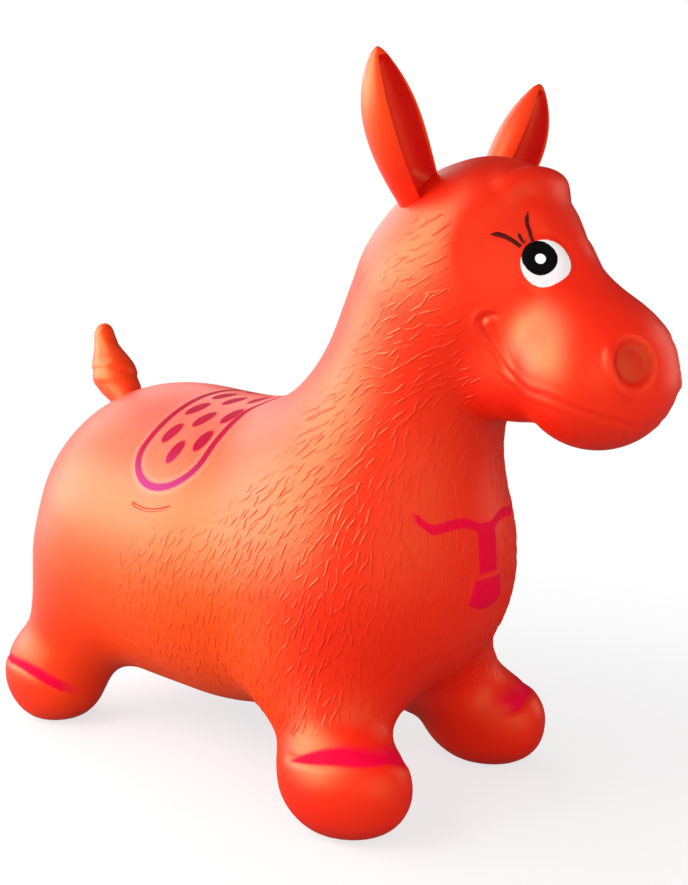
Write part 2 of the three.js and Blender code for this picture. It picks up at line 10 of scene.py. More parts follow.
import bpy
import numpy as np
from bpy.props import FloatProperty, FloatVectorProperty, PointerProperty
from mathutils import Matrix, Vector


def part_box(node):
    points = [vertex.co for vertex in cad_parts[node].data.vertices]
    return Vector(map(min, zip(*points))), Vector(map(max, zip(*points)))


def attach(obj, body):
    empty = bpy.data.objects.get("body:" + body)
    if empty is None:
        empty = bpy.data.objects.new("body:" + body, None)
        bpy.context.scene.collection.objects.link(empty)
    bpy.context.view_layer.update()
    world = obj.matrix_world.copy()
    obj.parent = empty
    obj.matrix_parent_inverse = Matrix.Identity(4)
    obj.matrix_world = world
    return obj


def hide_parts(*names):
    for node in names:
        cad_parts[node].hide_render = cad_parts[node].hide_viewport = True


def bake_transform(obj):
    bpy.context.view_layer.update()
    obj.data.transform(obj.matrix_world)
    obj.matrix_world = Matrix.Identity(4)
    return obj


bl_info = {
    "name": "Bouncy Horse Hopper",
    "version": (1, 0, 0),
    "blender": (4, 5, 0),
    "location": "View3D > Sidebar > Hopper",
    "description": "Builds the skin, ears, tail, face, coat and belly valve of an inflated ride-on horse",
    "category": "Add Mesh",
}

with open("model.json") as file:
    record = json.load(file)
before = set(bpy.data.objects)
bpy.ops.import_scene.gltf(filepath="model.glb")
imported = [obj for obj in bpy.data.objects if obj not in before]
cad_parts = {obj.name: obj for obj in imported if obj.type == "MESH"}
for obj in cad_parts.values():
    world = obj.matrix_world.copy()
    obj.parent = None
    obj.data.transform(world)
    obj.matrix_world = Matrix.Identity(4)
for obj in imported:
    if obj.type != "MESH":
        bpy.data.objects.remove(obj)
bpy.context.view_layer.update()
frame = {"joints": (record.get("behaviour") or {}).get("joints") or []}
JOINTS = {joint["name"]: joint for joint in frame["joints"]}
MM = 0.001
OTHER_SIDE = np.array([1.0, -1.0, 1.0])

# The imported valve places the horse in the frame: it lies this far behind the middle of the barrel.
VALVE_BACK = 30.0
VALVE_LOW, VALVE_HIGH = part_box("valve_seat")
BARREL_X = (VALVE_LOW[0] + VALVE_HIGH[0]) / 2 / MM + VALVE_BACK


def to_frame(points):
    """Horse millimetres to frame metres: x moves by the barrel's place in the frame."""
    return (points + np.array([BARREL_X, 0.0, 0.0])) * MM


def from_frame(point):
    """Frame metres to horse millimetres."""
    return np.array(point) / MM - np.array([BARREL_X, 0.0, 0.0])


# Small tools

def rise(value, low, high):
    """Smooth step from 0 at low to 1 at high, of an array or of a value in a material."""
    if isinstance(value, Value):
        return value.node("ShaderNodeMapRange", {"interpolation_type": "SMOOTHSTEP"},
                          {"Value": value, "From Min": low, "From Max": high})
    t = np.clip((value - low) / (high - low), 0.0, 1.0)
    return t * t * (3.0 - 2.0 * t)


def fall(value, low, high):
    """Smooth step from 1 at low to 0 at high, of an array or of a value in a material."""
    return 1.0 - rise(value, low, high)


def hump(value, width):
    """Gaussian bump of a half-width."""
    return np.exp(-((value / width) ** 2))


def rounded(value, start):
    """Quarter circle from 1 at start down to nearly 0 at 1, for the end of a tube."""
    return np.sqrt(np.clip(1.0 - np.clip((value - start) / (1.0 - start), 0.0, 1.0) ** 2, 0.0004, 1.0))


def unit(vectors):
    """Vectors brought to length 1."""
    return vectors / np.linalg.norm(vectors, axis=-1, keepdims=True)


def away_from(points, centre, stretch=(1.0, 1.0, 1.0)):
    """Distance of points from a centre, each axis measured in its own stretch."""
    return np.linalg.norm((points - np.array(centre)) / np.array(stretch), axis=1)


def one_side(points):
    """Points with y made positive, for relief that is the same on both sides."""
    return np.stack([points[:, 0], np.abs(points[:, 1]), points[:, 2]], axis=1)


# Blended forms: places and half-sizes, and the reach over which they flow into one another

BARREL, BARREL_HALF = (0.0, 0.0, 162.0), (170, 126, 127)
RUMP, RUMP_HALF = (-103.0, 0.0, 170.0), (98, 122, 118)
CHEST, CHEST_HALF = (143.0, 0.0, 168.0), (94, 110, 97)
NECK_BASE, NECK_TOP, NECK_RADII = (143.0, 0.0, 255.0), (203.0, 0.0, 368.0), (66, 70)
SKULL, SKULL_HALF = (237.0, 0.0, 402.0), (56, 60, 62)
MUZZLE, MUZZLE_HALF, MUZZLE_DIP = (321.0, 0.0, 323.5), (46, 55.5, 45.5), 26
BRIDGE_RADII = (49, 37)
FORELOCK, FORELOCK_HALF, FORELOCK_DIP = (267.5, 0.0, 438.5), (22, 38, 20), 45
THROAT, THROAT_HALF = (262.0, 0.0, 325.5), (34, 38, 36)
TORSO_REACH, NECK_REACH, HEAD_REACH, FACE_REACH, LOCK_REACH, THROAT_REACH = 55, 80, 38, 32, 6, 20

# Each leg: its hip, the hip's radius, the middle of its hoof and the hoof's half-sizes.
FRONT_LEG = (132.0, 55.0, 94.0), 48, (177.0, 85.0, 34.0), (53.5, 37.5, 36.5)
REAR_LEG = (-123.0, 70.0, 133.0), 41, (-158.0, 89.5, 41.0), (45.0, 41.0, 43.5)
HOOF_POWER, PASTERN_SHARE = 2.25, 0.88
LEG_REACH, HOOF_REACH, SOLE_REACH = 42, 15, 4


def soft_min(a, b, reach):
    """Lower of two distances, less a parabola where they come within reach of each other."""
    near = np.maximum(reach - np.abs(a - b), 0.0)
    return np.minimum(a, b) - near * near / (4.0 * reach)


def ellipsoid(x, y, z, centre, half, dip=0.0):
    """Distance to an ellipsoid: its scaled radius, less one, over the slope of that radius."""
    u, v, w = x - centre[0], y - centre[1], z - centre[2]
    cos, sin = math.cos(math.radians(dip)), math.sin(math.radians(dip))
    u, w = cos * u - sin * w, sin * u + cos * w
    a, b, c = half
    scaled = np.sqrt((u / a) ** 2 + (v / b) ** 2 + (w / c) ** 2)
    steep = np.sqrt((u / a**2) ** 2 + (v / b**2) ** 2 + (w / c**2) ** 2)
    return scaled * (scaled - 1.0) / np.maximum(steep, 1e-9)


def hoof_block(x, y, z, centre, half):
    """Distance along the ray to a puffed block: level radius and height summed at a power above two."""
    u, v, w = x - centre[0], y - centre[1], z - centre[2]
    level = np.sqrt((u / half[0]) ** 2 + (v / half[1]) ** 2)
    scaled = (level**HOOF_POWER + np.abs(w / half[2]) ** HOOF_POWER) ** (1.0 / HOOF_POWER)
    return np.sqrt(u * u + v * v + w * w) * (1.0 - 1.0 / np.maximum(scaled, 1e-3))


def round_cone(x, y, z, start, end, radius_start, radius_end):
    """Distance to the hull of two balls: to either ball beyond its tangent circle, else to the cone."""
    axis = np.subtract(end, start)
    length = math.sqrt(axis @ axis)
    u, v, w = x - start[0], y - start[1], z - start[2]
    along = (u * axis[0] + v * axis[1] + w * axis[2]) / length
    radial = np.sqrt(np.maximum(u * u + v * v + w * w - along * along, 0.0))
    sin = (radius_start - radius_end) / length
    cos = math.sqrt(1.0 - sin * sin)
    foot = along * cos - radial * sin
    to_start = np.hypot(radial, along) - radius_start
    to_end = np.hypot(radial, along - length) - radius_end
    to_cone = radial * cos + along * sin - radius_start
    return np.where(foot < 0.0, to_start, np.where(foot > length * cos, to_end, to_cone))


def trunk(x, y, z):
    """Barrel, rump and chest ellipsoids, the neck's round cone, the head and the throat, blended in turn."""
    barrel, rump = ellipsoid(x, y, z, BARREL, BARREL_HALF), ellipsoid(x, y, z, RUMP, RUMP_HALF)
    torso = soft_min(barrel, rump, TORSO_REACH)
    torso = soft_min(torso, ellipsoid(x, y, z, CHEST, CHEST_HALF), TORSO_REACH)
    neck = round_cone(x, y, z, NECK_BASE, NECK_TOP, *NECK_RADII)
    bridge = round_cone(x, y, z, SKULL, MUZZLE, *BRIDGE_RADII)
    head = soft_min(ellipsoid(x, y, z, SKULL, SKULL_HALF), bridge, FACE_REACH)
    head = soft_min(head, ellipsoid(x, y, z, MUZZLE, MUZZLE_HALF, MUZZLE_DIP), FACE_REACH)
    head = soft_min(head, ellipsoid(x, y, z, FORELOCK, FORELOCK_HALF, FORELOCK_DIP), LOCK_REACH)
    body = soft_min(soft_min(torso, neck, NECK_REACH), head, HEAD_REACH)
    return soft_min(body, ellipsoid(x, y, z, THROAT, THROAT_HALF), THROAT_REACH)


def leg(x, y, z, hip, hip_radius, hoof, half):
    """A round cone from hip to hoof, blended into the hoof's puffed block."""
    shank = round_cone(x, y, z, hip, hoof, hip_radius, PASTERN_SHARE * min(half))
    return soft_min(shank, hoof_block(x, y, z, hoof, half), HOOF_REACH)


def horse(x, y, z):
    """The trunk with four legs blended in, both sides alike, pressed flat at the floor."""
    side = np.abs(y)
    body = soft_min(trunk(x, side, z), leg(x, side, z, *FRONT_LEG), LEG_REACH)
    body = soft_min(body, leg(x, side, z, *REAR_LEG), LEG_REACH)
    return -soft_min(-body, z + 0.0 * body, SOLE_REACH)


def slope(points, step=0.05):
    """Gradient of the horse's distance at points, by central differences."""
    rises = [horse(*(points + way).T) - horse(*(points - way).T) for way in np.eye(3) * step]
    return np.stack(rises, axis=1) / (2.0 * step)


def drawn_to_skin(points, passes=4, height=0.0):
    """Points moved down the slope onto the skin, and the outward normals there; height lifts them off it."""
    flat = points.reshape(-1, 3).copy()
    for _ in range(passes):
        steep = slope(flat)
        flat -= steep * (horse(*flat.T) / np.maximum((steep**2).sum(1), 0.1))[:, None]
    normal = unit(slope(flat))
    flat = flat + normal * np.reshape(height, (-1, 1))
    return flat.reshape(points.shape), normal.reshape(points.shape)


def cast(origin, direction, reach):
    """Where rays from inside leave the skin: the distance is halved down on the change of sign."""
    near, far = np.zeros(len(direction)), np.full(len(direction), float(reach))
    for _ in range(30):
        half = (near + far) / 2.0
        inside = horse(*(origin + direction * half[:, None]).T) < 0.0
        near, far = np.where(inside, half, near), np.where(inside, far, half)
    return origin + direction * near[:, None]


# Meshes

def level_surface(distance, xs, ys, zs):
    """Closed mesh where a distance is zero, for a form that branches and so has no two-parameter grid.

    Each grid cell that the surface crosses gives one vertex, the mean of its edge crossings, and each
    grid edge that it cuts gives one quad between the four cells round that edge.
    """
    axes, steps = (xs, ys, zs), np.eye(3, dtype=int)
    value = distance(xs[:, None, None], ys[None, :, None], zs[None, None, :])
    total, hits, edges = np.zeros((*value.shape, 3)), np.zeros(value.shape), []
    for n in range(3):
        one, two = steps[(n + 1) % 3], steps[(n + 2) % 3]
        low, high = [slice(None)] * 3, [slice(None)] * 3
        low[n], high[n] = slice(0, -1), slice(1, None)
        f, g = value[tuple(low)], value[tuple(high)]
        at = np.argwhere((f < 0.0) != (g < 0.0))
        f, g = f[tuple(at.T)], g[tuple(at.T)]
        crossing = np.stack([axes[m][at[:, m]] for m in range(3)], axis=1)
        crossing[:, n] += (axes[n][at[:, n] + 1] - crossing[:, n]) * f / (f - g)
        cells = [tuple((at - step).T) for step in (one + two, two, 0 * one, one)]
        for cell in cells:
            total[cell] += crossing
            hits[cell] += 1.0
        edges.append((cells, f < 0.0))
    crossed = hits > 0.0
    number = np.cumsum(crossed).reshape(crossed.shape) - 1
    quads = []
    for cells, outward in edges:
        ring = np.stack([number[cell] for cell in cells], axis=1)
        quads.append(np.where(outward[:, None], ring, ring[:, ::-1]))
    return total[crossed] / hits[crossed][:, None], np.concatenate(quads)


def mesh_piece(name, points, *faces, material, body=None):
    """New smooth object at the origin, from points in horse millimetres and arrays of faces."""
    mesh = bpy.data.meshes.new(name)
    mesh.from_pydata(to_frame(points).tolist(), [], sum((block.tolist() for block in faces), []))
    mesh.polygons.foreach_set("use_smooth", np.ones(len(mesh.polygons), bool))
    mesh.materials.append(material)
    mesh.update()
    piece = bpy.data.objects.new(name, mesh)
    bpy.context.scene.collection.objects.link(piece)
    if body:
        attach(piece, body)
    return piece


def grid_faces(rows, columns, wrap=False):
    """Quads of a grid of vertices, counted row by row; wrap joins the last column to the first."""
    i, j = np.meshgrid(np.arange(rows - 1), np.arange(columns if wrap else columns - 1), indexing="ij")
    k = (j + 1) % columns
    return np.stack([i * columns + j, i * columns + k, (i + 1) * columns + k, (i + 1) * columns + j],
                    axis=-1).reshape(-1, 4)


def round_grid(values, columns):
    """Grids of the values along an axis and of the turns round it, and the quads between them."""
    turn = np.arange(columns) * 2.0 * math.pi / columns
    along, round_axis = np.meshgrid(values, turn, indexing="ij")
    return along, round_axis, grid_faces(len(values), columns, wrap=True)


def capped_tube(points):
    """A tube's points with the middle of either end added, and the triangles that close those ends."""
    rows, columns = points.shape[:2]
    ring = np.arange(columns)
    after, top, foot = (ring + 1) % columns, (rows - 1) * columns, 0 * ring + rows * columns
    caps = np.concatenate([np.stack([after, ring, foot], axis=1),
                           np.stack([top + ring, top + after, foot + 1], axis=1)])
    return np.concatenate([points.reshape(-1, 3), points[[0, -1]].mean(1)]), caps


def repeated(faces, block, times):
    """One block's faces repeated for blocks of vertices that follow each other."""
    return (faces[None] + (np.arange(times) * block)[:, None, None]).reshape(-1, faces.shape[1])


def both_sides(points, faces):
    """A shape and its mirror image across the middle, with the mirror image's faces turned round."""
    return (np.concatenate([points, points * OTHER_SIDE]),
            np.concatenate([faces, faces[:, ::-1] + len(points)]))


def along_spline(knots, count):
    """Points along a Catmull-Rom curve through knots, evenly spread over its spans."""
    knots = np.asarray(knots, float)
    padded = np.concatenate([2 * knots[:1] - knots[1:2], knots, 2 * knots[-1:] - knots[-2:-1]])
    t = np.linspace(0.0, len(knots) - 1, count)
    span = np.minimum(t.astype(int), len(knots) - 2)
    u = (t - span)[:, None]
    a, b, c, d = (padded[span + n] for n in range(4))
    return 0.5 * (2 * b + (c - a) * u + (2 * a - 5 * b + 4 * c - d) * u**2 + (3 * b - a - 3 * c + d) * u**3)


def distance_to(points, line):
    """Distance from each point to a chain of short straight pieces, and the share of its length there."""
    start, step = line[:-1], np.diff(line, axis=0)
    away = points[:, None, :] - start[None]
    share = np.clip((away * step).sum(2) / (step * step).sum(1), 0.0, 1.0)
    gap = np.linalg.norm(away - share[..., None] * step, axis=2)
    nearest = gap.argmin(1)
    row = np.arange(len(points))
    return gap[row, nearest], (nearest + share[row, nearest]) / len(step)


# Materials

class Value:
    """A socket in a material's node tree, whose operators add Math nodes."""

    def __init__(self, tree, socket):
        self.tree = tree
        self.socket = socket

    def node(self, kind, settings=None, sockets=None, output=0):
        """Any node: its settings are set first, then values or links on its sockets, by name or number.

        Output is a name or a number, or a tuple of them for a list of values.
        """
        node = self.tree.nodes.new(kind)
        for name, value in (settings or {}).items():
            setattr(node, name, value)
        for name, value in (sockets or {}).items():
            if isinstance(value, Value):
                self.tree.links.new(value.socket, node.inputs[name])
            else:
                node.inputs[name].default_value = value
        if isinstance(output, tuple):
            return [Value(self.tree, node.outputs[key]) for key in output]
        return Value(self.tree, node.outputs[output] if node.outputs else None)

    def math(self, operation, *others):
        """Number from a Math node on this value and others."""
        return self.node("ShaderNodeMath", {"operation": operation}, dict(enumerate((self, *others))))

    __add__ = __radd__ = partialmethod(math, "ADD")
    __mul__ = __rmul__ = partialmethod(math, "MULTIPLY")
    __sub__ = partialmethod(math, "SUBTRACT")
    __truediv__ = partialmethod(math, "DIVIDE")
    __abs__ = partialmethod(math, "ABSOLUTE")
    above = partialmethod(math, "MAXIMUM")
    below = partialmethod(math, "MINIMUM")
    root = partialmethod(math, "SQRT")

    def __rsub__(self, other):
        return self.node("ShaderNodeMath", {"operation": "SUBTRACT"}, {0: other, 1: self})

    def mixed(self, one, two):
        """Colour one where this value is 0 and colour two where it is 1."""
        return self.node("ShaderNodeMix", {"data_type": "RGBA"}, {0: self, 6: one, 7: two}, output=2)

    def vector(self, operation, *values):
        """Number from a Vector Math node on this vector."""
        sockets = dict(enumerate((self, *values)))
        return self.node("ShaderNodeVectorMath", {"operation": operation}, sockets, output=1)

    def noise(self, scale, detail):
        return self.node("ShaderNodeTexNoise", {}, {"Vector": self, "Scale": scale, "Detail": detail})

    def bump(self, height, distance):
        return self.node("ShaderNodeBump", {}, {"Strength": 1.0, "Distance": distance, "Height": height})

    def principled(self, constants, colour, roughness, **varying):
        sockets = {**constants, "Base Color": colour, "Roughness": roughness, **varying}
        return self.node("ShaderNodeBsdfPrincipled", {}, sockets)


def new_tree(owner):
    """Tools for building the node tree of a material or a world, which is emptied first."""
    owner.use_nodes = True
    owner.node_tree.nodes.clear()
    return Value(owner.node_tree, None)


def new_material(name):
    """A material, the tools for its node tree and its Object coordinates."""
    material = bpy.data.materials.new(name)
    tools = new_tree(material)
    return material, tools, tools.node("ShaderNodeTexCoord", output="Object")


def show(tools, shader):
    """Make a shader the surface of its material."""
    tools.node("ShaderNodeOutputMaterial", {}, {"Surface": shader})


def horse_coordinates(coordinates):
    """x, |y| and z of Object coordinates, in horse millimetres."""
    x, y, z = coordinates.node("ShaderNodeSeparateXYZ", {}, {0: coordinates}, output=(0, 1, 2))
    return x * 1000.0 - BARREL_X, abs(y * 1000.0), z * 1000.0


def linear(hex_colour):
    """Scene-linear colour, with alpha, from a display colour written as 0xRRGGBB."""
    channels = np.array([(hex_colour >> shift) & 255 for shift in (16, 8, 0)]) / 255.0
    low, high = channels / 12.92, ((channels + 0.055) / 1.055) ** 2.4
    return (*np.where(channels <= 0.04045, low, high).tolist(), 1.0)


def darker(colour, share):
    return (*(share * channel for channel in colour[:3]), 1.0)


# Smile, from the dimple at the cheek round to the middle of the lips
SMILE = [(278, 50, 359), (272, 54, 360), (266.4, 54.5, 356.2), (266.9, 51.8, 349.8), (269.8, 48.0, 342.7),
         (274.6, 43.4, 333.8), (281.5, 42.1, 325.7), (292.3, 46.9, 318.9), (302.7, 51.4, 314.2),
         (315.7, 54.7, 312.1), (325.9, 54.0, 308.5), (337.1, 49.3, 304.0), (346.5, 41.6, 299.8),
         (354.1, 30.6, 295.8), (359.3, 14.9, 292.3), (360.5, 0.0, 291.5)]
NOSTRIL = np.array([364.5, 29.5, 334.0])

# Saddle, drawn on the back as if unrolled: across is the way round the barrel from the ridge. Each spot
# has its place along the back, its place across and its lean.
SADDLE_X, SADDLE_HALF, SADDLE_DROP, SADDLE_FLARE = 5.0, 33.5, 98.0, 9.0
SADDLE_WRAP, SADDLE_BACK, SADDLE_FRONT, SADDLE_FOOT = 127.0, (-60.0, -55.0), (62.0, 67.0), (196.0, 204.0)
SADDLE_SPOTS = [(-13.5, 17.5, 13.2), (6.0, 25.0, 13.2), (28.5, 18.5, 11.0), (-13.5, 48.0, 17.6),
                (6.5, 60.5, 15.4), (29.5, 51.5, 11.0), (-11.0, 81.5, 8.8), (7.0, 99.0, 4.4),
                (25.5, 84.0, 2.2)]
SPOT_WIDE, SPOT_LONG = 6.2, 12.0
ARC_RADIUS, ARC_HALF = 52.0, (16.0, 22.0)

# Collar and bell on the chest: the collar's height and its waves outward, the bell's foot and top, its
# half-width at the top and how that grows downward, the rise of its foot, and where the chest begins.
COLLAR, COLLAR_WAVES = 210.5, ((4.0, 24.0, 6.0), (28.0, 46.0, -2.2), (47.0, 59.0, 9.0))
BELL_FOOT, BELL_TOP, BELL_TOP_HALF, BELL_FLARE, BELL_CUP = 151.5, 174.5, 15.5, 0.24, 0.017
CHEST_FRONT = (185.0, 195.0)

# Crease between leg and hoof, and the painted band above it. In front the crease climbs towards the toe
# and drops on the leg's inner side. Behind it falls away forward.
FRONT_CREASE, FRONT_CLIMB, FRONT_TOE = 53.5, 5.7, (150.0, 200.0)
INNER_DROP, INNER_SIDE = 10.0, (56.0, 92.0)
REAR_CREASE, REAR_FALL, REAR_START = 54.5, 0.0103, -162.0
BAND_MIDDLE, BAND_HALF, BAND_HEIGHT = 190.0, 34.0, 10.5

VINYL = {"IOR": 1.6, "Specular IOR Level": 0.5, "Specular Tint": (1.0, 0.92, 0.34, 1.0),
         "Subsurface Weight": 0.1, "Subsurface Radius": (1.0, 0.2, 0.06), "Subsurface Scale": 0.006}
PAINT = {"Specular IOR Level": 0.03}
ENAMEL = {"IOR": 1.5, "Coat Roughness": 0.12, "Specular IOR Level": 0.3}
GRAIN_SCALE, GRAIN_HEIGHT = 900.0, 0.05


def saddle_masks(x, side, z):
    """The back's bounds, the saddle's outline and spots, its mist, its thin end and the arc below it."""
    over_back = rise(z, *SADDLE_FOOT) * rise(x, *SADDLE_BACK) * fall(x, *SADDLE_FRONT)
    across = side.math("ARCTAN2", z - BARREL[2]) * SADDLE_WRAP
    lane, end = x - SADDLE_X, (across - SADDLE_DROP).above(0.0)
    flare = fall(across, 18.0, 46.0) * rise(lane, 0.0, 20.0) * SADDLE_FLARE
    rim = abs((lane * lane + end * end).root() - SADDLE_HALF - flare)
    drawn = fall(rim, 2.2, 4.2)
    for spot_x, spot_across, lean in SADDLE_SPOTS:
        cos, sin = math.cos(math.radians(lean)), math.sin(math.radians(lean))
        u, v = x - spot_x, across - spot_across
        wide, long = (u * cos + v * sin) / SPOT_WIDE, (v * cos - u * sin) / SPOT_LONG
        drawn = drawn.above(fall(wide * wide + long * long, 0.7, 1.25))
    mist = fall(rim, 2.0, 10.0) * (0.45 + 0.55 * rise(across, 70.0, 130.0)) * over_back
    arc = fall(abs((lane * lane * 1.05 + end * end).root() - ARC_RADIUS), 0.5, 1.6)
    arc = arc * fall(abs(lane - 3.0), *ARC_HALF) * rise(across, 128.0, 134.0) * over_back
    return over_back, drawn * over_back, mist, rise(across, 92.0, 140.0) * over_back, arc


def bell_edges(side, z):
    """How far places lie outside the bell's flared side, and above its cupped foot."""
    return side - BELL_TOP_HALF - (BELL_TOP - z) * BELL_FLARE, z - BELL_FOOT - side * side * BELL_CUP


def above_creases(x, side, z):
    """How far places lie above the creases of the front and of the rear hooves."""
    past = (x - REAR_START + abs(x - REAR_START)) / 2.0
    front = z - (FRONT_CREASE + FRONT_CLIMB * rise(x, *FRONT_TOE) - INNER_DROP * fall(side, *INNER_SIDE))
    return front, z - (REAR_CREASE - REAR_FALL * past * past)


def chest_mask(x, side, z):
    """The sprayed collar, its strap and the bell."""
    wave = COLLAR
    for low, high, lift in COLLAR_WAVES:
        wave = rise(side, low, high) * lift + wave
    collar = fall(abs(z - wave), 2.6, 4.6) * fall(side, 56.0, 60.0)
    strap = fall(side, 9.8, 11.8) * rise(z, 177.0, 179.5) * fall(z, 209.0, 213.0)
    edge, foot = bell_edges(side, z)
    cup = fall(edge, -1.0, 1.2) * rise(foot, -1.0, 1.2) * fall(z, BELL_TOP - 1.0, BELL_TOP + 1.2)
    return collar.above(strap).above(cup) * rise(x, *CHEST_FRONT)


def band_mask(x, side, z):
    """The sprayed bands above the hooves: a lens in front, and a stroke that widens forward behind."""
    front, rear = above_creases(x, side, z)
    lens = (x - BAND_MIDDLE) / BAND_HALF
    front_top = BAND_HEIGHT * (1.0 - lens * lens) + 3.5 * fall(side, 74.0, 90.0) * fall(x, 214.0, 226.0)
    rear_top = 7.0 + 4.0 * rise(x, -165.0, -130.0)
    front_band = rise(front, -1.4, 0.4) * fall(front - front_top, -3.0, 1.0) * rise(side, 58.0, 72.0)
    rear_band = rise(rear, -1.4, 0.4) * fall(rear - rear_top, -3.5, 1.5) * fall(x, -122.0, -110.0)
    return front_band.above(rear_band * rise(side, 88.0, 108.0)) * fall(z, 82.0, 90.0)


def clouded(settings, coordinates, scale):
    """Clouds in the vinyl, its mottled colour and its roughness."""
    cloud = coordinates.noise(scale, 3.0)
    return cloud, (cloud * 0.6 - 0.05).mixed(settings.skin_deep, settings.skin), 0.41 + (cloud - 0.5) * 0.08


def vinyl(settings, name, painted):
    """Satin vinyl with a fine moulded grain and painted light, more orange on the lower flank and the tail;
    painted adds painted shade in the nostrils, and the saddle, collar, bell and hoof bands.
    """
    material, tools, coordinates = new_material(name)
    x, side, z = horse_coordinates(coordinates)
    cloud, colour, rough = clouded(settings, coordinates, 9.0)
    # Painted light: the lower flank and the tail are made more orange, as strong lamp light and floor bounce
    # would make them look.
    flank = rise(x, -200.0, 10.0) * fall(x, 90.0, 170.0) * fall(z, 150.0, 230.0)
    tail = fall(x, -165.0, -140.0) * rise(z, 270.0, 290.0)
    colour = flank.above(tail * 0.7).mixed(colour, settings.painted_light_skin)
    height = coordinates.noise(GRAIN_SCALE, 2.0) * GRAIN_HEIGHT
    if not painted:
        show(tools, tools.principled(VINYL, colour, rough, Normal=tools.bump(height, MM)))
        return material
    # Painted shade in the nostrils: a deeper red over their dishes, where shade falls.
    u, v, w = x - NOSTRIL[0], side - NOSTRIL[1], z - NOSTRIL[2]
    nostril_shade_mask = fall((u * u + v * v + w * w).root(), 13.0, 17.0)
    colour = (nostril_shade_mask * 0.55).mixed(colour, settings.painted_nostril_shade)
    over_back, saddle, mist, thin, arc = saddle_masks(x, side, z)
    colour = (mist * 0.35).mixed(colour, settings.mist)
    sprayed = thin.mixed(over_back.mixed(settings.paint, settings.saddle), settings.saddle_pale)
    cover = saddle.above(chest_mask(x, side, z)).above(band_mask(x, side, z))
    cover = cover * (0.97 + (cloud - 0.5) * 0.2).below(1.0)
    bump = tools.bump(height - arc * 1.8 + saddle * 0.25, MM)
    bare = tools.principled(VINYL, colour, rough, Normal=bump)
    paint = tools.principled(PAINT, sprayed, rough + 0.15, Normal=bump)
    show(tools, tools.node("ShaderNodeMixShader", {}, {0: cover, 1: bare, 2: paint}))
    return material


def ear_vinyl(settings):
    """The skin's vinyl with painted light, more orange towards the tip, and the scooped face sprayed red
    where the ear's mask says so.
    """
    material, tools, coordinates = new_material("ear_vinyl")
    _, _, z = horse_coordinates(coordinates)
    mask = tools.node("ShaderNodeAttribute", {"attribute_name": "sprayed"}, output="Fac")
    cloud, colour, rough = clouded(settings, coordinates, 14.0)
    # Painted light: the ear grows more orange towards its tip, as the lamps light it there.
    colour = (rise(z, 440.0, 480.0) * 0.5).mixed(colour, settings.painted_light_skin)
    colour = (rise(mask, 0.35, 0.65) * (0.85 + cloud * 0.2)).mixed(colour, settings.inner_ear)
    bump = tools.bump(coordinates.noise(GRAIN_SCALE, 2.0) * GRAIN_HEIGHT, MM)
    show(tools, tools.principled(VINYL, colour, rough, Normal=bump))
    return material


def enamel(name, colour, roughness, coat):
    """Glossy sprayed paint with a faint mottle."""
    material, tools, coordinates = new_material(name)
    cloud = coordinates.noise(60.0, 3.0)
    colour = (cloud * 0.7).mixed(colour, darker(colour, 0.9))
    show(tools, tools.principled({**ENAMEL, "Coat Weight": coat}, colour, roughness + (cloud - 0.5) * 0.06))
    return material


def moulded_plastic(settings):
    """White moulded plastic of the stopper, a little darker in its pores."""
    material, tools, coordinates = new_material("stopper_plastic")
    cloud = coordinates.noise(120.0, 3.0)
    colour = (cloud * 0.5).mixed(settings.stopper, darker(settings.stopper, 0.86))
    bump = tools.bump(coordinates.noise(1500.0, 2.0) * 0.08, 0.0006)
    show(tools, tools.principled({"IOR": 1.49}, colour, 0.42 + cloud * 0.1, Normal=bump))
    return material


# The sizes, colours and lights that a user would change

def colour_setting(name, description, shade):
    return FloatVectorProperty(name=name, description=description, subtype="COLOR", size=4, min=0.0, max=1.0,
                               default=linear(shade))


def length_setting(name, description, default, low, high):
    return FloatProperty(name=name, description=description, default=default, min=low, max=high, precision=4,
                         unit="LENGTH")


def power_setting(name, description, default):
    return FloatProperty(name=name, description=description, default=default, min=0.0, unit="POWER")


class HopperLooks(bpy.types.PropertyGroup):
    """Colours of the vinyl and its painted light, the painted shade in the nostrils, the sprayed paint and
    the stopper, and the depth of the moulded relief.
    """

    skin: colour_setting("Vinyl", "Colour of the vinyl", 0xFA1C08)
    # Painted light: the orange that strong light gives the flank, tail and ear tips.
    painted_light_skin: colour_setting("Warm vinyl", "Colour of flank, tail and ear tips", 0xFA4406)
    skin_deep: colour_setting("Vinyl mottle", "Colour of the deeper clouds in the vinyl", 0xF21807)
    inner_ear: colour_setting("Inner ear", "Red sprayed into the ears", 0xDC0A12)
    paint: colour_setting("Paint", "Crimson of collar, bell and hoof bands", 0xEA0238)
    saddle: colour_setting("Saddle paint", "Crimson of the saddle", 0xAE0034)
    saddle_pale: colour_setting("Thin paint", "Saddle paint where the spray ran thin", 0xB8387A)
    # Painted shade: the deeper red laid in the nostrils.
    painted_nostril_shade: colour_setting("Nostril", "Deeper red in the nostrils", 0xB8140A)
    mist: colour_setting("Overspray", "Colour of the paint mist round the saddle", 0xF48080)
    stopper: colour_setting("Stopper", "Colour of the valve stopper", 0xF0EEE8)
    coat_height: length_setting("Coat stroke height", "How far a coat stroke stands out", 0.00075, 0.0, 0.003)
    coat_length: length_setting("Coat stroke length", "Length of a coat stroke", 0.0155, 0.004, 0.03)
    coat_width: length_setting("Coat stroke width", "Width of a coat stroke", 0.0023, 0.001, 0.01)
    mouth_depth: length_setting("Mouth depth", "Depth of the smile's groove", 0.0022, 0.0, 0.005)
    nostril_depth: length_setting("Nostril depth", "Depth of the nostrils' dishes", 0.0055, 0.0, 0.008)
    ear_scoop: length_setting("Ear scoop", "Depth of the hollow in an ear's face", 0.0165, 0.0, 0.02)


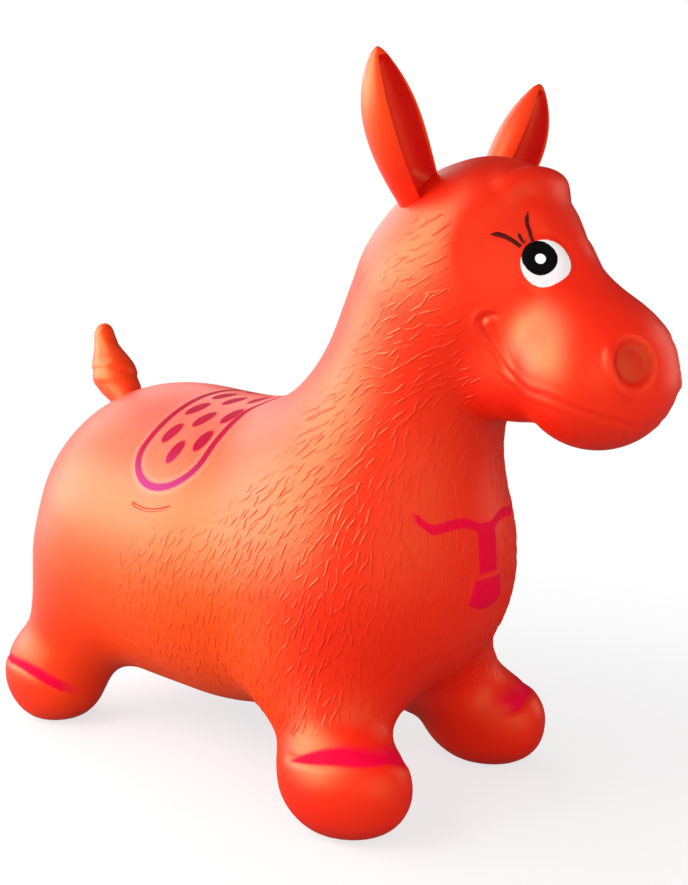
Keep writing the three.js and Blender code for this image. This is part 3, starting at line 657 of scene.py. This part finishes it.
class HopperStage(bpy.types.PropertyGroup):
    """Where the camera stands, and the strength of the studio lights."""

    turn: FloatProperty(name="Camera turn", description="Camera's turn round the toy from its right side",
                        subtype="ANGLE", default=0.7260)
    lift: FloatProperty(name="Camera lift", description="Camera's angle above level", subtype="ANGLE",
                        default=0.1360)
    distance: FloatProperty(name="Camera distance", description="Camera to the point that it looks at",
                            default=1.0107, min=0.3, unit="LENGTH")
    lens: FloatProperty(name="Lens", description="Focal length on a 36 mm sensor", default=47.47, min=10.0,
                        subtype="DISTANCE_CAMERA")
    key: power_setting("Key panel", "Power of the large panel on the left", 29.0)
    sheen: power_setting("Sheen panel", "Power of the panel on the left that only the sheen shows", 17.0)
    top: power_setting("Top panel", "Power of the panel overhead that only the sheen shows", 5.0)
    rim: power_setting("Rim panel", "Power of the panel on the right that only the sheen shows", 2.4)
    side: power_setting("Side panel", "Power of the small panel in front on the left", 4.0)
    back: power_setting("Back panel", "Power of the panel behind", 6.5)
    bounce: power_setting("Bounce panel", "Power of the low panel that lights the belly", 1.0)
    fill: power_setting("Fill panel", "Power of the soft panel in front on the right", 11.5)
    surround: FloatProperty(name="Surround", description="Strength of the surround's light", default=0.3,
                            min=0.0)


# Relief of the skin

EYE, PUPIL = (301.0, 32.5, 393.5), (298.2, 34.3, 396.4)
EYE_SOCKET, SOCKET_STRETCH = (283.0, 43.0, 402.0), (1.15, 1.0, 1.05)
NOSE_BRIDGE, CROWN = (311.0, 0.0, 396.0), (238.0, 0.0, 464.0)

# Locks of the forelock: x, z, height and width.
LOCKS = ((278.5, 450.5, 0.8, 6.0), (282.0, 436.0, -2.8, 7.0), (269.0, 458.5, -2.4, 6.0))


def face_relief(points, looks):
    """Heights on the face: smile groove with lips, dished nostrils with a rim behind, brow and forelock.

    The eye's ball swells in a sunk socket, and the bridge of the nose is a little fuller than the form.
    """
    height = np.zeros(len(points))
    head = (points[:, 0] > 180.0) & (points[:, 2] > 270.0)
    q = points[head]
    x, side, z = q.T
    gap, share = distance_to(q, drawn_to_skin(along_spline(SMILE, 90))[0])
    fade = rise(share, 0.0, 0.06) * (1.0 - 0.76 * rise(share, 0.30, 0.46))
    fade *= 1.0 - 0.5 * rise(share, 0.85, 1.0)
    lips = 0.42 * hump(gap - 4.0, 1.9) - hump(gap, 1.9) - 0.30 * hump(gap - 7.8, 1.7) * rise(share, 0.2, 0.3)
    lift = looks.mouth_depth / MM * lips * fade
    away = away_from(q, NOSTRIL, (1.0, 0.94, 1.06))
    lift -= looks.nostril_depth / MM * fall(away, 12.0, 17.0)
    behind = rise((q - NOSTRIL) @ np.array([-0.75, 0.6, 0.05]), -4.0, 9.0)
    lift += 2.8 * hump(away - 19.0, 3.2) * behind * fall(z - NOSTRIL[2], 4.0, 14.0)
    lift -= 2.8 * fall(away_from(q, EYE_SOCKET, SOCKET_STRETCH), 18.0, 38.0) * rise(side, 20.0, 34.0)
    ball = away_from(q, EYE)
    lift += 1.6 * fall(ball, 8.0, 26.0) - 0.8 * hump(ball - 20.0, 2.0)
    lift += 3.2 * fall(away_from(q, NOSE_BRIDGE, (1.0, 0.7, 1.0)), 4.0, 40.0)
    lift -= 1.6 * fall(away_from(q, CROWN), 20.0, 52.0)
    locks = sum(high * hump(np.hypot(x - lock_x, z - lock_z), wide) for lock_x, lock_z, high, wide in LOCKS)
    height[head] = lift + locks * fall(side, 24.0, 42.0)
    return height


def body_relief(points):
    """Heights on the body: hooves proud below their crease, and the strap and bell raised on the chest."""
    x, side, z = points.T
    above = np.where(x > 0.0, *above_creases(x, side, z))
    front = rise(x, 140.0, 165.0) * rise(side, 54.0, 72.0)
    rear = rise(side, 85.0, 108.0) * fall(x, -125.0, -108.0)
    step = 1.3 * fall(above, -3.5, 1.5) * rise(above, -40.0, -12.0) - 0.8 * hump(above - 1.0, 2.4)
    hooves = np.where((z < 90.0) & (side > 30.0), step * np.where(x > 0.0, front, rear), 0.0)
    strap = 0.7 * fall(side, 8.5, 12.0) * rise(z, 176.0, 180.0) * fall(z, 208.0, 214.0)
    edge, foot = bell_edges(side, z)
    cup = 2.0 * fall(edge, -3.0, 1.0) * rise(foot, -1.0, 4.0) * fall(z, BELL_TOP - 2.0, BELL_TOP + 1.0)
    ridge = 1.4 * hump(z - BELL_TOP - 2.2, 1.7) * fall(side, 15.0, 18.0)
    return hooves + rise(x, *CHEST_FRONT) * np.maximum(np.maximum(strap, cup), ridge)


def graded(*stops):
    """Grid lines from (place, spacing) stops, each spacing holding up to the next place."""
    pieces = [np.arange(a, b - 0.5 * step, step) for (a, step), (b, _) in zip(stops, stops[1:])]
    return np.concatenate([*pieces, [stops[-1][0]]])


VALVE_HOLE, BELLY_TOP, MOST_TRIANGLES = 9.0, 60.0, 200000


class HOPPER_OT_skin(bpy.types.Operator):
    """Make the inflated skin: torso, neck, head and legs as one blended form with its moulded relief"""

    bl_idname = "hopper.skin"
    bl_label = "Skin"

    def execute(self, context):
        looks = context.scene.hopper_looks
        xs = graded((-262.0, 3.6), (180.0, 2.15), (384.0, 2.15))
        half = graded((0.0, 2.35), (65.8, 3.4), (147.4, 3.4))
        zs = graded((-9.0, 3.5), (281.5, 2.15), (481.0, 2.15))
        points, faces = level_surface(horse, xs, np.concatenate([-half[:0:-1], half]), zs)
        points, normals = drawn_to_skin(points, passes=3)
        lift = face_relief(one_side(points), looks) + body_relief(one_side(points))
        points = points + normals * lift[:, None]
        points[:, 2] = np.maximum(points[:, 2], 0.0)
        centre = np.array([-VALVE_BACK, 0.0])
        out = np.linalg.norm(points[:, :2] - centre, axis=1)
        hole = (points[:, 2] < BELLY_TOP) & (out < VALVE_HOLE)
        faces = faces[~hole[faces].all(1)]
        edge = np.zeros(len(points), bool)
        edge[faces.ravel()] = True
        edge &= hole
        widened = VALVE_HOLE / np.maximum(out[edge], 1.0)
        points[edge, :2] = centre + (points[edge, :2] - centre) * widened[:, None]
        used, faces = np.unique(faces, return_inverse=True)
        material = vinyl(looks, "painted_vinyl", True)
        piece = mesh_piece("hopper_skin", points[used], faces.reshape(-1, 4), material=material, body="body")
        if len(piece.data.polygons) * 2 > MOST_TRIANGLES:
            raise RuntimeError(f"the skin has {2 * len(piece.data.polygons)} triangles")
        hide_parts("torso_skin", "neck_skin", "head_skin", "front_left_leg", "front_right_leg",
                    "rear_left_leg", "rear_right_leg")
        return {"FINISHED"}


# Coat. Rows of strokes run from foot to top. By height: the strokes' fall below level, the axis that a
# row is cast from, how far it is cast, and the cheek line where the coat ends. By x: the upper edge, as
# the upward part of the skin's normal.
COAT_FOOT, COAT_TOP, COAT_PITCH, COAT_LEAST, COAT_SEED = 74.0, 424.0, 5.3, 0.12, 5
COAT_FALL = (60, 90, 160, 200, 240, 280, 330, 420), (80, 75, 68, 61, 51, 40, 29, 24)
COAT_AXIS = (60, 200, 260, 368, 424), (30, 30, 120, 195, 228)
COAT_REACH = (60, 250, 285, 300, 424), (330, 330, 300, 130, 110)
COAT_CHEEK = (250, 300, 330, 372, 424), (300, 262, 254, 252, 246)
COAT_EDGE = (-160, -60, 20, 100, 200), (-0.06, 0.1, 0.32, 0.5, 0.66)
STROKE_ROWS, STROKE_SECTION, STROKE_SWELL = 8, (-1.0, -0.68, 0.15, 1.0), (0.0, 1.0, 0.55, 0.0)


def coat_rows(rng, length):
    """Places of coat strokes and their fall in degrees, in rows round level sections.

    A row's outline is cast from an axis inside the body, in equal steps of angle, and strokes are set
    on it at even steps of its arc length, shifted a little at random.
    """
    turn = np.linspace(0.0, math.pi, 721)
    way = np.stack([np.cos(turn), np.sin(turn), 0.0 * turn], axis=1)
    places, falls = [], []
    z = COAT_FOOT
    while z < COAT_TOP:
        steep = np.interp(z, *COAT_FALL)
        down = math.sin(math.radians(steep))
        outline = cast(np.array([np.interp(z, *COAT_AXIS), 0.0, z]), way, np.interp(z, *COAT_REACH))
        arc = np.concatenate([[0.0], np.cumsum(np.linalg.norm(np.diff(outline, axis=0), axis=1))])
        step = COAT_PITCH / max(down, 0.45)
        at = np.arange(0.5 * step * (len(places) % 2) + 0.3 * step, arc[-1], step)
        at = at + rng.uniform(-0.28, 0.28, len(at)) * step
        points = np.stack([np.interp(at, arc, outline[:, n]) for n in range(3)], axis=1)
        points[:, 2] += rng.uniform(-0.22, 0.22, len(at)) * length
        places.append(points)
        falls.append(np.full(len(at), steep))
        z += 0.66 * length * down + 0.8
    return np.concatenate(places), np.concatenate(falls)


def coat_places(rng, length):
    """Places, normals, back-and-down directions and strengths of coat strokes.

    The stroke's fall steepens from neck to leg and on the chest. Strokes fade at the back, the belly, the
    crest, the cheek, the hooves, the bell and the middle line.
    """
    points, steep = coat_rows(rng, length)
    points, normal = drawn_to_skin(points)
    x, side, z = points.T
    ahead, _, up = normal.T
    steep = steep + (88.0 - steep) * rise(ahead, 0.35, 0.95) * fall(z, 285.0, 320.0)
    steep = np.radians(steep + rng.normal(0.0, 5.0, len(steep)))
    level = np.stack([normal[:, 1], -ahead, 0.0 * side], axis=1)
    level /= np.maximum(np.linalg.norm(level, axis=1, keepdims=True), 1e-6)
    level *= np.where(level[:, :1] > 0.0, -1.0, 1.0)
    way = level * np.cos(steep)[:, None] + np.array([0.0, 0.0, -1.0]) * np.sin(steep)[:, None]
    way = unit(way - normal * (way * normal).sum(1, keepdims=True))
    strength = fall(up - np.interp(x, *COAT_EDGE), -0.16, 0.06) * rise(up, -0.86, -0.6)
    strength *= 0.25 + 0.75 * rise(x, -110.0, 0.0)
    strength *= 1.0 - rise(z, 285.0, 315.0) * fall(ahead, -0.35, 0.02)
    above = np.where(x > 0.0, *above_creases(x, side, z))
    strength *= fall(x - np.interp(z, *COAT_CHEEK), -4.0, 4.0) * rise(above, 10.0, 20.0)
    by_bell = rise(x, 205.0, 215.0) * fall(side, 18.0, 24.0)
    strength *= 1.0 - by_bell * rise(z, 140.0, 148.0) * fall(z, 218.0, 226.0)
    strength *= rise(side, 3.0, 9.0)
    strength *= (1.0 - 0.35 * rise(-x, -60.0, 40.0)) * rng.uniform(0.25, 1.0, len(x)) ** 0.7
    return points, normal, way, strength


class HOPPER_OT_coat(bpy.types.Operator):
    """Raise the coat strokes on neck, shoulders, flanks and legs: small lens-shaped ridges on the skin"""

    bl_idname = "hopper.coat"
    bl_label = "Coat strokes"

    def execute(self, context):
        looks = context.scene.hopper_looks
        length, width, proud = looks.coat_length / MM, looks.coat_width / MM, looks.coat_height / MM
        rng = np.random.default_rng(COAT_SEED)
        strokes = coat_places(rng, length)
        keep = strokes[3] > COAT_LEAST
        place, normal, way, strength = (values[keep][:, None, None] for values in strokes)
        across = np.cross(normal, way)
        a, b = np.meshgrid(np.linspace(-1.0, 1.0, STROKE_ROWS), STROKE_SECTION, indexing="ij")
        swell = np.interp(b, STROKE_SECTION, STROKE_SWELL)
        size = strength**0.5 * rng.uniform(0.75, 1.15, strength.shape)
        bow = rng.normal(0.0, 1.0, strength.shape)
        taper = (1.0 - a**2) ** 0.55 * (1.0 - 0.25 * a)
        forward = a * 0.5 * length * size
        sideways = b * 0.5 * width * taper * size**0.5 + bow * np.sin(2.6 * a) * 0.75
        points = place + way * forward[..., None] + across * sideways[..., None]
        height = proud * strength * swell * (1.0 - a**2) ** 0.6 - 0.1
        points, _ = drawn_to_skin(points, passes=2, height=height)
        faces = repeated(grid_faces(*a.shape)[:, ::-1], a.size, len(place))
        points, faces = both_sides(points.reshape(-1, 3), faces)
        material = bpy.data.materials["painted_vinyl"]
        piece = mesh_piece("coat_strokes", points, faces, material=material, body="body")
        return {"FINISHED"}


# Ear, from its foot in the crown: how far its middle line runs forward, out and up, and how it curls
# back in. The opening is the half-angle of its scooped face, and the root is the part sunk in the crown.
EAR_FOOT, EAR_RUN = np.array([207.5, 43.0, 440.0]), np.array([5.5, 81.0, 96.0])
EAR_CURL = np.array([0.0, -30.5, -9.5])
EAR_RADIUS, EAR_WIDEST, EAR_OPENING, EAR_ROOT = 19.2, 0.38, math.radians(50.0), -0.14


def ear_radius(share):
    """Radius of an ear along its length: a quarter sine out to its widest, a power fall, a round tip."""
    out = 0.81 + 0.19 * np.sin(np.pi / 2 * np.clip(share / EAR_WIDEST, 0.0, 1.0))
    back = 1.0 - np.clip((share - EAR_WIDEST) / 0.66, 0.0, 1.0) ** 2.1
    return EAR_RADIUS * np.where(share < EAR_WIDEST, out, back) * rounded(share, 0.94)


class HOPPER_OT_ears(bpy.types.Operator):
    """Make both ears: a round section with a scooped front carried up a curved line"""

    bl_idname = "hopper.ears"
    bl_label = "Ears"

    def execute(self, context):
        looks = context.scene.hopper_looks
        material = ear_vinyl(looks)
        upper = 1.0 - (1.0 - np.linspace(0.0, 1.0, 72)) ** 1.35
        share = np.concatenate([np.linspace(EAR_ROOT, 0.0, 9)[:-1], upper])
        u, v, quads = round_grid(share, 144)
        radius = ear_radius(np.clip(u, 0.0, 1.0))
        across, front = np.sin(v), np.cos(v)
        inside = np.clip(np.abs(across) / math.sin(EAR_OPENING), 0.0, 1.0)
        bowl = math.cos(EAR_OPENING) - looks.ear_scoop / MM / EAR_RADIUS * (1.0 - inside**4)
        scooped = (inside < 1.0) & (front > 0.0)
        open_face = rise(u, -0.10, 0.12) * fall(u, 0.88, 0.97)
        depth = np.where(scooped, front + (bowl - front) * open_face, front)
        sprayed = np.where(scooped, rise(open_face, 0.1, 0.6) * fall(inside, 0.93, 1.0), 0.0)
        line = EAR_FOOT + EAR_RUN * share[:, None] + EAR_CURL * (share**2)[:, None]
        along = unit(EAR_RUN + 2.0 * EAR_CURL * share[:, None])
        face = unit(np.array([1.0, 0.0, 0.0]) - along * along[:, :1])
        out = np.cross(face, along)
        points = (line[:, None] + face[:, None] * (radius * depth)[..., None]
                  + out[:, None] * (radius * across)[..., None])
        points, caps = capped_tube(points)
        for side, name in ((1.0, "left_ear"), (-1.0, "right_ear")):
            mirror = np.array([1.0, side, 1.0])
            flip = slice(None, None, int(side))
            piece = mesh_piece(f"{name}_leaf", points * mirror, quads[:, flip], caps[:, flip],
                               material=material)
            mask = piece.data.attributes.new("sprayed", "FLOAT", "POINT")
            mask.data.foreach_set("value", np.append(sprayed, [0.0, 0.0]).astype(np.float32))
            pivot = from_frame(JOINTS[f"{name}_flex"]["pos_m"])
            axis = along[len(share) // 3] * mirror
            to_frame(pivot - axis * 2.0)
            to_frame(pivot + axis * 26.0)
            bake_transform(piece)
            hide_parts(name)
        return {"FINISHED"}


# Tail: its length, root and lean, and the place and depth of each fold along it.
TAIL_LENGTH, TAIL_ROOT, TAIL_LEAN = 85.0, -0.16, math.radians(29.0)
TAIL_FOLDS = (0.25, 0.6), (0.43, 1.1), (0.85, 0.5)


class HOPPER_OT_tail(bpy.types.Operator):
    """Make the tail: a round section carried up a swept path, swelling into a bud with slanting folds"""

    bl_idname = "hopper.tail"
    bl_label = "Tail"

    def execute(self, context):
        u, v, quads = round_grid(np.linspace(TAIL_ROOT, 1.0, 64), 56)
        radius = 12.8 + 7.4 * hump(u - 0.42, 0.27) - 3.6 * rise(u, 0.45, 0.9)
        radius = radius * rounded(u, 0.88)
        for place, deep in TAIL_FOLDS:
            crease = u - place - 0.11 * np.cos(v + 0.785)
            fold = np.where(crease < 0.0, hump(crease, 0.08), hump(crease, 0.025))
            radius = radius - deep * fold + 0.5 * deep * hump(crease - 0.10, 0.09)
        pivot = from_frame(JOINTS["tail_flex"]["pos_m"])
        axis = np.array([-math.sin(TAIL_LEAN), 0.0, math.cos(TAIL_LEAN)])
        back = np.array([-math.cos(TAIL_LEAN), 0.0, -math.sin(TAIL_LEAN)])
        grown = np.clip(u, 0.0, 1.0)
        sweep = 5.0 * np.sin(np.pi * grown) - 3.0 * grown**3 - 4.0 * fall(u, 0.0, 0.4)
        points = (pivot + axis * (u * TAIL_LENGTH)[..., None] + back * (sweep + radius * np.cos(v))[..., None]
                  + np.array([0.0, 1.0, 0.0]) * (radius * np.sin(v))[..., None])
        points, caps = capped_tube(points)
        material = vinyl(context.scene.hopper_looks, "plain_vinyl", False)
        piece = mesh_piece("tail_locks", points, quads[:, ::-1], caps[:, ::-1], material=material)
        to_frame(pivot - axis * 2.0)
        to_frame(pivot + axis * 22.0)
        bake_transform(piece)
        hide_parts("tail")
        return {"FINISHED"}


# Eye patches: centre, half-width, half-height, thickness, turn, and their paint's colour, roughness and
# coat. Lashes, on the right side: knots along each strip and its half-width.
EYE_PATCHES = (("eye_whites", EYE, 17.8, 17.4, 0.35, 0.5, "eye_white", 0xF4ECEC, 0.3, 0.2),
               ("eye_pupils", PUPIL, 13.1, 13.2, 0.55, 0.0, "eye_black", 0x0B0808, 0.3, 0.15),
               ("eye_glints", PUPIL, 4.4, 4.2, 0.75, 0.0, "eye_glint", 0xFFFFFF, 0.25, 0.4))
LASHES = (([(288.5, -41.5, 404.5), (282.4, -46.4, 409.4), (277.4, -50.1, 411.9), (272.5, -53.4, 412.0)], 2.0),
          ([(290.0, -39.6, 406.5), (288.0, -40.6, 409.6), (285.9, -41.4, 413.4)], 1.5),
          ([(293.5, -35.6, 406.5), (291.8, -34.7, 412.4), (288.4, -34.2, 420.5), (287.1, -31.5, 427.2)], 1.7))
LASH_ROWS, LASH_COLUMNS = 24, 5


def on_face(points, lift, looks):
    """Points drawn onto the skin and then raised by the face's relief there plus their own lift."""
    flat, normal = drawn_to_skin(points.reshape(-1, 3), passes=3)
    return flat + normal * (face_relief(one_side(flat), looks) + np.ravel(lift))[:, None]


def skin_disc(centre, wide, tall, height, turn, looks):
    """Oval patch on the right side of the skin: rings about a centre, drawn onto it, its rim sunk in."""
    base, normal = drawn_to_skin(np.array([centre]) * OTHER_SIDE)
    up = unit(np.array([0.0, 0.0, 1.0]) - normal[0] * normal[0][2])
    level = np.cross(up, normal[0])
    r, t, faces = round_grid(np.linspace(0.0, 1.0, 10), 48)
    a, b = wide * r * np.cos(t), tall * r * np.sin(t)
    a, b = a * math.cos(turn) - b * math.sin(turn), a * math.sin(turn) + b * math.cos(turn)
    points = base[0] + level * a[..., None] + up * b[..., None]
    lift = height * (1.0 - r**8) - 0.35 * r**8
    return both_sides(on_face(points, lift, looks), faces[:, ::-1])


def lash_strip(knots, half, looks):
    """Strip along a curve on the skin, tapering at its end, its edges sunk in."""
    line, normal = drawn_to_skin(along_spline(knots, LASH_ROWS))
    across = unit(np.cross(normal, np.gradient(line, axis=0)))
    s, b = np.meshgrid(np.linspace(0.0, 1.0, LASH_ROWS), np.linspace(-1.0, 1.0, LASH_COLUMNS), indexing="ij")
    wide = half * (0.9 + 0.2 * s) * (1.0 - 0.75 * rise(s, 0.75, 1.0))
    lift = 0.5 * (1.0 - b**4) - 0.3 * b**4 - 0.3 * rise(s, 0.97, 1.0)
    return on_face(line[:, None] + across[:, None] * (wide * b)[..., None], lift, looks)


class HOPPER_OT_eyes(bpy.types.Operator):
    """Paint both eyes: white oval, dark pupil and glint as thin patches, and lashes as tapering strips"""

    bl_idname = "hopper.eyes"
    bl_label = "Eyes"

    def execute(self, context):
        looks = context.scene.hopper_looks
        for name, centre, wide, tall, height, turn, paint, colour, roughness, coat in EYE_PATCHES:
            points, faces = skin_disc(centre, wide, tall, height, turn, looks)
            material = enamel(paint, linear(colour), roughness, coat)
            piece = mesh_piece(name, points, faces, material=material, body="body")
        points = np.concatenate([lash_strip(knots, half, looks) for knots, half in LASHES])
        faces = grid_faces(LASH_ROWS, LASH_COLUMNS)[:, ::-1]
        points, faces = both_sides(points, repeated(faces, LASH_ROWS * LASH_COLUMNS, len(LASHES)))
        material = enamel("lash_paint", linear(0x5A0606), 0.4, 0.1)
        piece = mesh_piece("lashes", points, faces, material=material, body="body")
        return {"FINISHED"}


# Profiles of the valve, as radius and height above the foot of its seat
VALVE_RING = [(4.5, 15.6), (4.5, 1.0), (4.7, 0.3), (5.2, 0.0), (8.4, 0.0), (9.6, -0.2), (10.8, -0.5),
              (12.2, -0.4), (13.2, 0.2), (13.8, 1.2), (14.0, 2.6), (8.5, 2.9), (8.5, 3.4), (15.6, 3.6),
              (16.0, 4.0), (16.0, 5.4), (15.6, 5.8), (8.9, 5.9), (8.5, 6.4), (8.5, 15.4), (8.2, 16.0),
              (5.0, 16.0), (4.5, 15.6)]
STOPPER = [(0.02, -3.5), (2.4, -3.5), (2.9, -3.1), (3.4, -2.9), (5.6, -3.3), (7.4, -3.0), (8.5, -2.3),
           (8.95, -1.4), (8.95, -0.7), (8.6, -0.6), (4.6, -0.6), (4.0, -0.2), (4.0, 3.2), (4.35, 4.6),
           (4.35, 5.4), (4.0, 6.4), (4.0, 8.4), (4.35, 9.6), (4.35, 10.4), (4.0, 11.4), (4.0, 16.6),
           (3.7, 17.4), (3.1, 18.0), (0.02, 18.0)]


def turned_profile(profile, columns=64):
    """Closed surface of a profile of (radius, height) pairs turned about the valve's vertical axis."""
    radius, height = np.array(profile).T
    r, t, faces = round_grid(radius, columns)
    foot = np.array([-VALVE_BACK, 0.0, VALVE_LOW[2] / MM])
    points = foot + np.stack([r * np.cos(t), r * np.sin(t), 0.0 * r + height[:, None]], axis=-1)
    return points.reshape(-1, 3), faces


class HOPPER_OT_valve(bpy.types.Operator):
    """Make the belly valve: a moulded ring round the hole in the skin, and the ribbed stopper in its bore"""

    bl_idname = "hopper.valve"
    bl_label = "Valve"

    def execute(self, context):
        looks = context.scene.hopper_looks
        material = vinyl(looks, "valve_vinyl", False)
        piece = mesh_piece("valve_ring", *turned_profile(VALVE_RING), material=material, body="body")
        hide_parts("valve_seat")
        material = moulded_plastic(looks)
        piece = mesh_piece("stopper_plug", *turned_profile(STOPPER), material=material, body="valve_stopper")
        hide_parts("valve_stopper")
        return {"FINISHED"}


# Stage. The floor lies just under the soles. Each panel has its setting, width, height, its place to the
# right of the camera's target, towards the camera and up, and whether it lights the colour and the sheen.
FLOOR_RADIUS, FLOOR_LEVEL, CAMERA_TARGET, BRIGHT_TURN = 6000.0, -0.2, np.array([31.45, 80.0, 243.8]), 0.46
WHITE, FLOOR_SEEN, FLOOR_LIT, FLOOR_MIRRORED = ((tone, tone, tone, 1.0) for tone in (1.0, 0.95, 0.42, 0.05))
PANELS = (("key", 2.6, 1.5, (-1.25, 0.10, 0.51), True, True),
          ("sheen", 1.5, 0.6, (-1.10, 0.28, 0.34), False, True),
          ("top", 0.5, 0.5, (-0.58, 0.32, 0.95), False, True),
          ("rim", 0.6, 0.9, (1.20, -0.25, 0.30), False, True),
          ("side", 0.55, 0.55, (-0.98, 0.56, 0.75), True, True),
          ("back", 1.2, 0.9, (-0.62, -1.02, 0.85), True, True),
          ("bounce", 0.7, 0.16, (-0.62, 0.22, -0.15), True, False),
          ("fill", 1.5, 1.2, (0.60, 1.20, 0.12), True, False))


def seen_rays(tools):
    """1 for what the camera sees, and 1 for what is seen in a reflection or through glass."""
    seen = tools.node("ShaderNodeLightPath", output=("Is Camera Ray", "Is Glossy Ray", "Is Transmission Ray"))
    return seen[0], seen[1].above(seen[2])


def leftward(turn):
    """Level direction to the left of a camera at a turn round the toy."""
    return (-math.cos(turn), -math.sin(turn), 0.0)


def pale_floor(stage):
    """Matte floor that the camera sees nearly white, and that mirrors bright only on the left."""
    material, tools, coordinates = new_material("pale_floor")
    camera_ray, other_ray = seen_rays(tools)
    far = rise(coordinates.vector("LENGTH"), 0.25, 0.75)
    beside = rise(coordinates.vector("DOT_PRODUCT", leftward(stage.turn)), 0.15, 0.7)
    colour = other_ray.mixed(camera_ray.mixed(FLOOR_LIT, FLOOR_SEEN), FLOOR_MIRRORED)
    matte = tools.node("ShaderNodeBsdfDiffuse", {}, {"Color": colour})
    glow = tools.node("ShaderNodeEmission", {}, {"Color": WHITE, "Strength": 1.0})
    share = (0.7 + far * 0.3) * camera_ray.above(other_ray * (0.1 + 0.85 * beside))
    show(tools, tools.node("ShaderNodeMixShader", {}, {0: share, 1: matte, 2: glow}))
    return material


def white_surround(stage):
    """World that the camera sees white, that lights softly and that mirrors bright only on the left."""
    world = bpy.data.worlds.new("white_surround")
    tools = new_tree(world)
    camera_ray, other_ray = seen_rays(tools)
    direction = tools.node("ShaderNodeTexCoord", output="Generated")
    left = rise(direction.vector("DOT_PRODUCT", leftward(stage.turn - BRIGHT_TURN)), 0.35, 0.85)
    strength = camera_ray.above(other_ray * (0.02 + 0.98 * left)).above((1.0 - other_ray) * stage.surround)
    light = tools.node("ShaderNodeBackground", {}, {"Color": WHITE, "Strength": strength})
    tools.node("ShaderNodeOutputWorld", {}, {"Surface": light})
    return world


class HOPPER_OT_stage(bpy.types.Operator):
    """Set the pale floor, the soft studio lights, the white surround and the camera"""

    bl_idname = "hopper.stage"
    bl_label = "Stage"

    def execute(self, context):
        scene, stage = context.scene, context.scene.hopper_stage
        r, t, faces = round_grid(np.linspace(0.0, 1.0, 24) ** 1.5 * FLOOR_RADIUS, 96)
        points = np.stack([r * np.cos(t), r * np.sin(t), 0.0 * r + FLOOR_LEVEL], axis=-1).reshape(-1, 3)
        floor = mesh_piece("floor", points, faces[:, ::-1], material=pale_floor(stage))
        scene.world = white_surround(stage)

        right = Vector((math.cos(stage.turn), math.sin(stage.turn), 0.0))
        level = Vector((math.sin(stage.turn), -math.cos(stage.turn), 0.0))
        up = Vector((0.0, 0.0, 1.0))
        target = Vector(to_frame(CAMERA_TARGET))
        away = level * math.cos(stage.lift) + up * math.sin(stage.lift)
        data = bpy.data.cameras.new("camera")
        data.lens = stage.lens
        data.sensor_width = 36.0
        data.clip_end = 50.0
        camera = bpy.data.objects.new("camera", data)
        camera.location = target + away * stage.distance
        camera.rotation_euler = (-away).to_track_quat("-Z", "Y").to_euler()
        scene.collection.objects.link(camera)
        scene.camera = camera

        for name, wide, tall, (across, near, high), colour, sheen in PANELS:
            lamp = bpy.data.lights.new(f"{name}_panel", "AREA")
            lamp.energy = getattr(stage, name)
            lamp.shape = "RECTANGLE"
            lamp.size = wide
            lamp.size_y = tall
            light = bpy.data.objects.new(f"{name}_panel", lamp)
            light.location = target + right * across + level * near + up * high
            light.rotation_euler = (target - light.location).to_track_quat("-Z", "Y").to_euler()
            light.visible_diffuse = colour
            light.visible_glossy = sheen
            light.visible_camera = False
            scene.collection.objects.link(light)
        scene.view_settings.view_transform = "Standard"
        return {"FINISHED"}


class HOPPER_PT_panel(bpy.types.Panel):
    """The hopper's pieces and settings, in the 3D view's sidebar"""

    bl_label = "Bouncy Horse Hopper"
    bl_idname = "HOPPER_PT_panel"
    bl_space_type = "VIEW_3D"
    bl_region_type = "UI"
    bl_category = "Hopper"

    def draw(self, context):
        layout = self.layout
        for operator in OPERATORS:
            layout.operator(operator.bl_idname)
        for group in (context.scene.hopper_looks, context.scene.hopper_stage):
            box = layout.box()
            for name in group.__annotations__:
                box.prop(group, name)


OPERATORS = (HOPPER_OT_stage, HOPPER_OT_skin, HOPPER_OT_coat, HOPPER_OT_ears, HOPPER_OT_tail, HOPPER_OT_eyes,
             HOPPER_OT_valve)
CLASSES = (HopperLooks, HopperStage, *OPERATORS, HOPPER_PT_panel)


def register():
    for item in CLASSES:
        bpy.utils.register_class(item)
    bpy.types.Scene.hopper_looks = PointerProperty(type=HopperLooks)
    bpy.types.Scene.hopper_stage = PointerProperty(type=HopperStage)


def unregister():
    del bpy.types.Scene.hopper_stage
    del bpy.types.Scene.hopper_looks
    for item in reversed(CLASSES):
        bpy.utils.unregister_class(item)


def main():
    register()
    bpy.ops.hopper.stage()
    bpy.ops.hopper.skin()
    bpy.ops.hopper.coat()
    bpy.ops.hopper.ears()
    bpy.ops.hopper.tail()
    bpy.ops.hopper.eyes()
    bpy.ops.hopper.valve()


if __name__ == "__main__":
    main()
